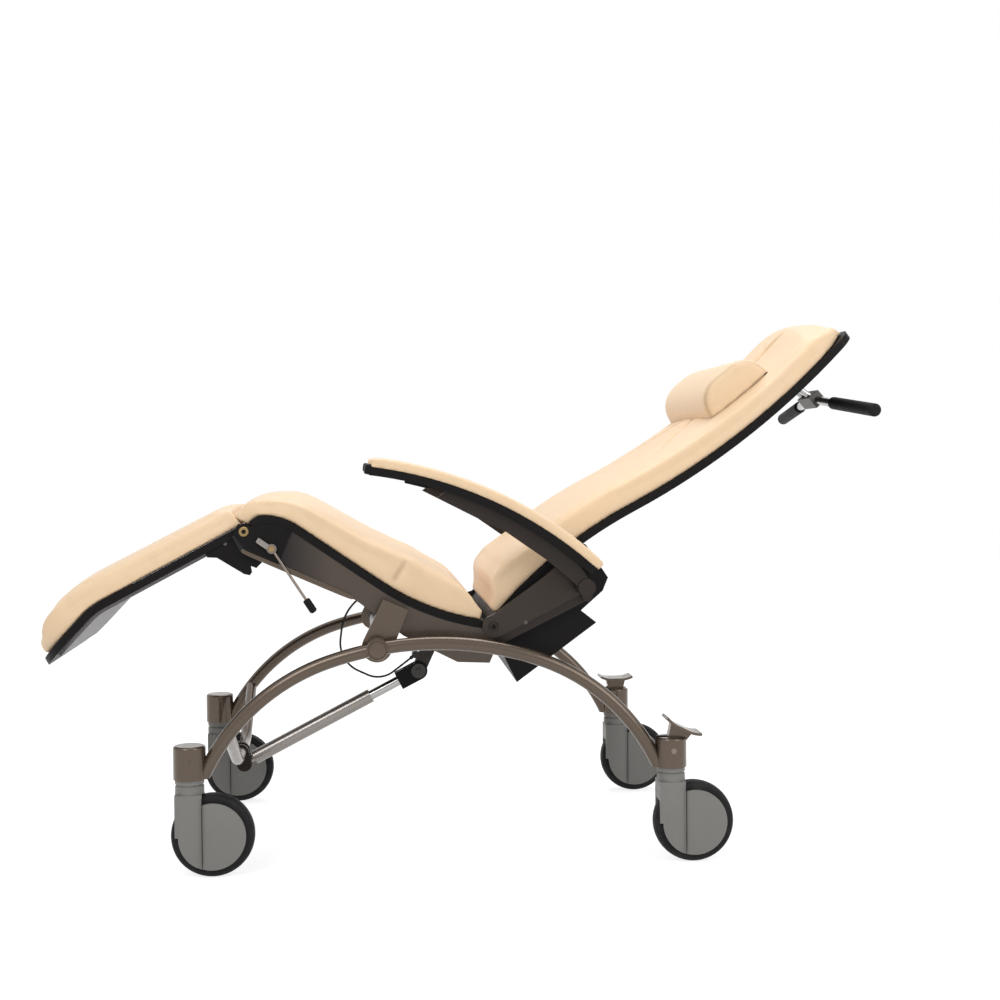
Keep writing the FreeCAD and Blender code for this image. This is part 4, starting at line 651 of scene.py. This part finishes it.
# seat, legrest and back cushions; stations are place along the panel, side height, crown and half width
seatCushion = {
    "stations": [(0.004, 0.032, 0.002, 0.24), (0.02, 0.033, 0.003, 0.245), (0.05, 0.034, 0.004, 0.247),
                 (0.107, 0.039, 0.006, 0.248), (0.212, 0.046, 0.008, 0.248), (0.317, 0.062, 0.008, 0.248),
                 (0.38, 0.058, 0.007, 0.248), (0.442, 0.05, 0.005, 0.248), (0.467, 0.04, 0.003, 0.247),
                 (0.482, 0.017, 0.001, 0.246)],
    "lip": 0.004, "ease": 0.016, "frontLean": 0.16, "topRound": 0.009, "footRound": 0.003, "clear": 0.0006,
    "swell": 4.0, "cap": 0.006,
}
legCushion = {
    "stations": [(0.018, 0.026, 0.002, 0.195), (0.03, 0.036, 0.004, 0.214), (0.053, 0.047, 0.006, 0.231),
                 (0.09, 0.046, 0.008, 0.24), (0.14, 0.039, 0.009, 0.24), (0.26, 0.037, 0.009, 0.24),
                 (0.4, 0.0365, 0.007, 0.24), (0.445, 0.036, 0.005, 0.239)],
    "lip": 0.004, "ease": 0.024, "frontLean": 0.0, "topRound": 0.01, "footRound": 0.002, "clear": 0.0006,
    "swell": 4.0, "cap": 0.006,
}
backCushion = {
    "stations": [(0.024, 0.012, 0.001, 0.236), (0.053, 0.051, 0.003, 0.239), (0.066, 0.0545, 0.003, 0.239),
                 (0.085, 0.0525, 0.004, 0.239), (0.106, 0.0485, 0.005, 0.239), (0.153, 0.042, 0.006, 0.238),
                 (0.23, 0.042, 0.007, 0.238), (0.44, 0.0415, 0.008, 0.238), (0.73, 0.037, 0.011, 0.238),
                 (0.79, 0.036, 0.016, 0.238), (0.825, 0.035, 0.022, 0.236), (0.85, 0.0325, 0.026, 0.229),
                 (0.866, 0.0275, 0.026, 0.217), (0.8745, 0.0215, 0.024, 0.203)],
    "lip": 0.005, "ease": 0.024, "frontLean": 0.0, "topRound": 0.008, "footRound": 0.003, "clear": 0.0006,
    "swell": 4.0, "cap": 0.006,
}
# foam under the covers: held below the first height, partly held below the second
cushionFoam = {"voxel": 0.005, "fixed": 0.007, "eased": 0.016, "share": 0.6, "fill": 0.85}


def makeCushion(name, lineName, spec, seams):
    line = lines[lineName]
    made = cushionShell(name, line, spec, finishes["upholstery"])
    foam = cushionFoam
    remesh(made, foam["voxel"])
    s, y, h = line.local(meshPoints(made.data))
    held = np.where(h < foam["fixed"], 1.0, np.where(h < foam["eased"], foam["share"], 0.0))
    stuff(made, held, spec["swell"], spec["cap"])
    s, y, h = line.local(meshPoints(made.data))
    pull, mark = seams(s, y, h)
    sew(made, pull, mark)
    roundOff(made)
    settle(lineName + "_cushion")
    print(name, "made:", len(made.data.vertices), "points")
    return made


# seams: how deep and wide the cover is drawn in, and how dark and wide the painted shade along the groove is
seatSeam = {"at": 0.302, "side": (0.236, 0.246), "above": (0.006, 0.02),
            "pull": 0.004, "width": 0.016, "mark": 0.45, "shadeWidth": 0.0085}
backSeam = {"along": (0.43, 0.458, 0.515, 0.574, 0.65, 0.74, 0.8, 0.85),
            "apart": (0.158, 0.134, 0.088, 0.046, 0.018, 0.012, 0.024, 0.055),
            "begin": (0.43, 0.5), "end": (0.8, 0.86), "above": (0.02, 0.03),
            "pull": 0.012, "width": 0.012, "mark": 0.9, "shadeWidth": 0.008}


def seamValues(spec, away, on):
    return (spec["pull"] * groove(away, spec["width"]) * on,
            spec["mark"] * groove(away, spec["shadeWidth"]) * on)


def seatSeams(s, y, h):
    # one upright seam on each side of the seat
    beside = fade(np.abs(y), *seatSeam["side"]) * fade(h, *seatSeam["above"])
    return seamValues(seatSeam, s - seatSeam["at"], beside)


def legSeams(s, y, h):
    return 0 * s, 0 * s


def backSeams(s, y, h):
    # two lengthwise seams that draw together behind the pillow and spread again above it
    along, apart = np.array(backSeam["along"]), np.array(backSeam["apart"])
    centre = np.interp(s, along, apart)
    slope = np.interp(s, along, np.gradient(apart, along))
    away = (np.abs(y) - centre) / np.sqrt(1 + slope ** 2)
    on = fade(s, *backSeam["begin"]) * (1 - fade(s, *backSeam["end"])) * fade(h, *backSeam["above"])
    return seamValues(backSeam, away, on)


# two points along the seat's nose, at the given places and height above the panel
seatBend = {"from": 0.008, "to": 0.08, "up": 0.015}
made = makeCushion("seatCushion", "seat", seatCushion, seatSeams)
ends = np.array([seatBend["from"], seatBend["to"]])
bendFrom, bendTo = lines["seat"].world(ends, 0 * ends, seatBend["up"] + 0 * ends)
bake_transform(made)
made = makeCushion("legCushion", "leg", legCushion, legSeams)
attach(made, "legrest")
made = makeCushion("backCushion", "back", backCushion, backSeams)
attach(made, "back")

# head pillow: a half-round bolster with flat end panels and a seam round each
headPillow = {"low": 0.578, "high": 0.73, "half": 0.19, "rise": 0.066, "foot": 0.0425, "endRound": 0.014,
              "sideBlunt": 0.7, "topBlunt": 0.8, "lift": 0.1, "voxel": 0.005, "fill": 0.8, "fixed": 0.006,
              "swell": 3.0, "cap": 0.005}
pillowSeam = {"inside": 0.006, "above": (0.002, 0.012), "shade": (0.006, 0.0095),
              "pull": 0.0018, "width": 0.007, "mark": 0.45, "shadeWidth": 0.004}


def makePillow(spec):
    line = lines["back"]
    mid, reach = (spec["low"] + spec["high"]) / 2, (spec["high"] - spec["low"]) / 2
    # profile: a flat foot and a half-round top, as angle runs from one foot edge to the other
    turn = np.linspace(0, math.pi, 40)
    across = np.sign(np.cos(turn)) * np.abs(np.cos(turn)) ** spec["sideBlunt"]
    up = np.sin(turn) ** spec["topBlunt"]
    foot = np.linspace(-1, 1, 22)[1:-1]
    profile = np.stack([np.concatenate([across, foot]), np.concatenate([up, 0 * foot])], axis=1)
    bend = np.linspace(0, math.pi / 2, 7)
    r, rows = spec["endRound"], 60
    inset = np.concatenate([r * (1 - np.sin(bend)), np.zeros(rows), r * (1 - np.cos(bend))])
    ys = np.concatenate([-spec["half"] + r * (1 - np.cos(bend)),
                         np.linspace(-spec["half"] + r, spec["half"] - r, rows),
                         spec["half"] - r + r * np.sin(bend)])
    size = 1 - inset[:, None] / reach
    s = mid + reach * profile[None, :, 0] * size
    h = spec["foot"] + spec["rise"] * profile[None, :, 1] * size + inset[:, None] * spec["lift"]
    points = line.world(s, ys[:, None] + 0 * s, h)
    made = gridObject("headPillow", points, finishes["upholstery"])
    remesh(made, spec["voxel"])
    s, y, h = line.local(meshPoints(made.data))
    held = np.where(h < spec["foot"] + spec["fixed"], 1.0, 0.0)
    stuff(made, held, spec["swell"], spec["cap"])
    s, y, h = line.local(meshPoints(made.data))
    rim = np.abs(y) - (spec["half"] - pillowSeam["inside"])
    above = h - spec["foot"]
    pull, mark = seamValues(pillowSeam, rim, fade(above, *pillowSeam["above"]))
    # painted shadow: the pillow's cover darkens toward its foot, where it rests on the back cushion
    sew(made, pull, np.maximum(mark, 1 - fade(above, *pillowSeam["shade"])))
    roundOff(made)
    settle("head_pillow")
    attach(made, "back")
    print("headPillow made:", len(made.data.vertices), "points")


makePillow(headPillow)

# armrest pads: long soft strips on the bent bodies
armrestPad = {"middle": 0.32, "half": 0.0268, "rise": 0.0165, "foot": -0.0045, "tip": 0.006, "reach": 0.995,
              "planBlunt": 16, "riseBlunt": 12, "tipRise": 0.35, "crown": 0.002, "topRound": 0.0045,
              "footRound": 0.002, "voxel": 0.004, "fill": 0.7, "fixed": 0.001, "swell": 3.0, "cap": 0.003}


def makePad(side, sign, spec):
    # width and height fall to the tips as the root of one minus a high power of the place along the pad
    line = lines["armrest"]
    rows, across = 120, 16  # sections along the pad and points across it
    t = np.linspace(-spec["reach"], spec["reach"], rows)
    plan, rise = ((1 - np.abs(t) ** spec[k]) ** (1 / spec[k]) for k in ("planBlunt", "riseBlunt"))
    s = spec["tip"] + (line.length * spec["reach"] - spec["tip"]) * (0.5 + t / 2)
    half = spec["half"] * plan
    height = spec["rise"] * (spec["tipRise"] + (1 - spec["tipRise"]) * rise)
    y, z = edgeLoop(half, height, spec["topRound"], spec["footRound"], across)
    share = np.clip(z / height[:, None], 0, 1)
    z = z + share * spec["crown"] * (1 - (y / half[:, None]) ** 2) + spec["foot"]
    points = line.world(s[:, None] + 0 * y, y + sign * spec["middle"], z)
    made = gridObject("armrestPad" + side.capitalize(), points, finishes["upholstery"])
    remesh(made, spec["voxel"])
    s, y, h = line.local(meshPoints(made.data))
    stuff(made, np.where(h < spec["fixed"], 1.0, 0.0), spec["swell"], spec["cap"])
    zero = np.zeros(len(made.data.vertices))
    sew(made, zero, zero)
    roundOff(made)
    settle("armrest_pad_" + side)
    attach(made, "armrest_" + side)
    print(made.name, "made:", len(made.data.vertices), "points")


makePad("left", -1, armrestPad)
makePad("right", 1, armrestPad)

# small fittings


def roundBlock(name, place, half, sharp, slot, body):
    # a superquadric: each axis is a power of the sphere's cosines, and the power sets how sharp the edges are
    rows, sides = 25, 48
    u = np.linspace(-math.pi / 2, math.pi / 2, rows)[:, None]
    v = np.linspace(0, 2 * math.pi, sides, endpoint=False)[None, :]

    def power(value):
        return np.sign(value) * np.abs(value) ** sharp

    grid = np.stack([power(np.cos(u)) * power(np.cos(v)) * half[0],
                     power(np.cos(u)) * power(np.sin(v)) * half[1],
                     power(np.sin(u)) * half[2] + 0 * v], axis=-1)
    made = gridObject(name, place(grid), finishes[slot], poles=True)
    smoothFaces(made.data)
    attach(made, body)


def turnedFitting(name, profile, spot, slot, body, sides):
    # radius and outward reach from the spot, turned about Y toward the left
    radius, reach = np.array(profile).T
    angle = np.linspace(0, 2 * math.pi, sides, endpoint=False)
    x = spot[0] + radius[:, None] * np.cos(angle)
    z = spot[2] + radius[:, None] * np.sin(angle)
    y = spot[1] - reach[:, None] + 0 * x
    made = gridObject(name, np.stack([x, y, z], axis=-1), finishes[slot], poles=True)
    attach(made, body)


def blockOnLine(name, lineName, across, spec, body):
    # a rounded black block that follows a panel line, between two places along it and two heights above it
    line = lines[lineName]
    mid, level = (spec["from"] + spec["to"]) / 2, (spec["low"] + spec["high"]) / 2

    def place(grid):
        return line.world(mid + grid[..., 0], across + grid[..., 1], level + grid[..., 2])

    half = ((spec["to"] - spec["from"]) / 2, spec["half"], (spec["high"] - spec["low"]) / 2)
    roundBlock(name, place, half, spec["sharp"], "black_plastic", body)


# black strips under the pillow's end panels, painted shadow for the gap beneath them
pillowShadowStrip = {"from": 0.584, "to": 0.727, "low": 0.0453, "high": 0.0497, "half": 0.0035, "sharp": 0.35,
              "y": 0.186}
# shiny black caps at the fronts of the armrests
armrestCap = {"from": -0.003, "to": 0.016, "low": -0.0185, "high": 0.001, "half": 0.0235, "sharp": 0.42}
# black steps under the armrests, in front of the bars
armrestStep = {"from": 0.074, "to": 0.121, "low": -0.0235, "high": -0.0185, "half": 0.019, "sharp": 0.3}
sides = (("left", -1), ("right", 1))
for side, sign in sides:
    blockOnLine("pillowShadowStrip" + side.capitalize(), "back", sign * pillowShadowStrip["y"], pillowShadowStrip, "back")
for kind, spec in (("armrestCap", armrestCap), ("armrestStep", armrestStep)):
    for side, sign in sides:
        middle = sign * armrestPad["middle"]
        blockOnLine(kind + side.capitalize(), "armrest", middle, spec, "armrest_" + side)

# pale catch beside the release lever, in the seat's frame
leverCatch = {"along": (-0.2792, -0.2535), "up": (0.0938, 0.0886), "y": -0.2585,
              "half": (0.0132, 0.0042, 0.0052), "sharp": 0.3}


def makeCatch(spec):
    mid = [sum(spec[k]) / 2 for k in ("along", "up")]
    turn = math.atan2(spec["up"][1] - spec["up"][0], spec["along"][1] - spec["along"][0])

    def place(grid):
        x = mid[0] + grid[..., 0] * math.cos(turn) - grid[..., 2] * math.sin(turn)
        z = mid[1] + grid[..., 0] * math.sin(turn) + grid[..., 2] * math.cos(turn)
        return lines["seat"].place(x, spec["y"] + grid[..., 1], z)

    roundBlock("leverCatch", place, spec["half"], spec["sharp"], "silver", "seat")


makeCatch(leverCatch)

# rolled lips along the lower edges of the seat's side plates
plateLip = {"from": -0.298, "to": -0.075, "up": 0.064, "y": 0.251, "thick": 0.0025, "deep": 0.005,
            "sharp": 0.35}


def makeLip(name, sign, spec):
    mid = (spec["from"] + spec["to"]) / 2

    def place(grid):
        x, y, z = np.moveaxis(grid, -1, 0)
        return lines["seat"].place(mid + x, sign * spec["y"] + y, spec["up"] + z)

    half = ((spec["to"] - spec["from"]) / 2, spec["thick"], spec["deep"])
    roundBlock(name, place, half, spec["sharp"], "bronze", "seat")


makeLip("plateLipLeft", -1, plateLip)
makeLip("plateLipRight", 1, plateLip)

# dark strips along the edges of the leg columns on the caster discs, painted shade for the shaded edge line
columnShadeLine = {"halfBase": 0.44, "behind": 0.0236, "foot": 0.019, "top": 0.146, "half": (0.0008, 0.0007),
              "sharp": 0.35}


def makeColumnShadeLines(corner, spec):
    low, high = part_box("caster_housing_" + corner)
    stem = spec["halfBase"] if "rear" in corner else -spec["halfBase"]
    deep = (spec["top"] - spec["foot"]) / 2
    for face, across in (("Outer", low[1]), ("Inner", high[1])):

        def place(grid):
            return grid + np.array([stem + spec["behind"], across, spec["foot"] + deep])

        name = "columnShadeLine" + face + "".join(word.capitalize() for word in corner.split("_"))
        roundBlock(name, place, spec["half"] + (deep,), spec["sharp"], "tyre", "caster_" + corner)


for corner in ("front_left", "front_right", "rear_left", "rear_right"):
    makeColumnShadeLines(corner, columnShadeLine)

# hexagon sockets in the heads of the pins as black discs, painted shade for the recesses, a hub cap and
# screws; each profile is radius and reach
hexSocketShade = [(0.0, 0.0), (0.0046, 0.0), (0.0046, 0.0003), (0.0, 0.0003)]
hubCap = [(0.0, 0.0022), (0.01, 0.0021), (0.0148, 0.0014), (0.0155, 0.0002), (0.0168, 0.0002),
          (0.0174, 0.0012), (0.0192, 0.0011), (0.0196, -0.0005), (0.0, -0.0005)]
screwHead = [(0.0, -0.002), (0.0042, -0.002), (0.0042, 0.0012), (0.0034, 0.002), (0.0012, 0.0021),
             (0.0, 0.0016)]
smallScrew = [(0.0, -0.002), (0.0024, -0.002), (0.0024, 0.0007), (0.0018, 0.0012), (0.0, 0.001)]
fittings = [
    ("kneeSocketShade", hexSocketShade, (-0.342078, -0.2577, 0.618442), "black_plastic", "seat", 6),
    ("hingeSocketShade", hexSocketShade, (0.114902, -0.2682, 0.437422), "black_plastic", "seat", 6),
    ("armScrew", screwHead, (0.1745, -0.264, 0.4445), "clamp_grey", "back", 24),
    ("bracketScrew", screwHead, (-0.377, -0.24, 0.5965), "clamp_grey", "legrest", 24),
    ("hubCapLeft", hubCap, (-0.101094, -0.316, 0.404422), "bronze", "base", 40),
    ("socketScrewFront", smallScrew, (-0.437, -0.3288, 0.213), "clamp_grey", "base", 20),
]
for fitting in fittings:
    turnedFitting(*fitting)
print("fittings made:", len(fittings))

# screws behind the back panel, in pairs along it
panelScrews = {"along": (0.44, 0.62, 0.84), "apart": 0.195, "under": -0.0145, "sides": 24}


def makePanelScrew(name, s, y, spec):
    # the screw head's profile turned about the panel's normal, away from the cushion
    radius, reach = np.array(screwHead).T
    angle = np.linspace(0, 2 * math.pi, spec["sides"], endpoint=False)
    along = s + radius[:, None] * np.cos(angle)
    across = y + radius[:, None] * np.sin(angle)
    points = lines["back"].world(along, across, spec["under"] - reach[:, None] + 0 * along)
    made = gridObject(name, points, finishes["clamp_grey"], poles=True)
    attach(made, "back")


for k, s in enumerate(panelScrews["along"]):
    makePanelScrew("panelScrewLeft%d" % k, s, -panelScrews["apart"], panelScrews)
    makePanelScrew("panelScrewRight%d" % k, s, panelScrews["apart"], panelScrews)
print("panel screws made:", 2 * len(panelScrews["along"]))
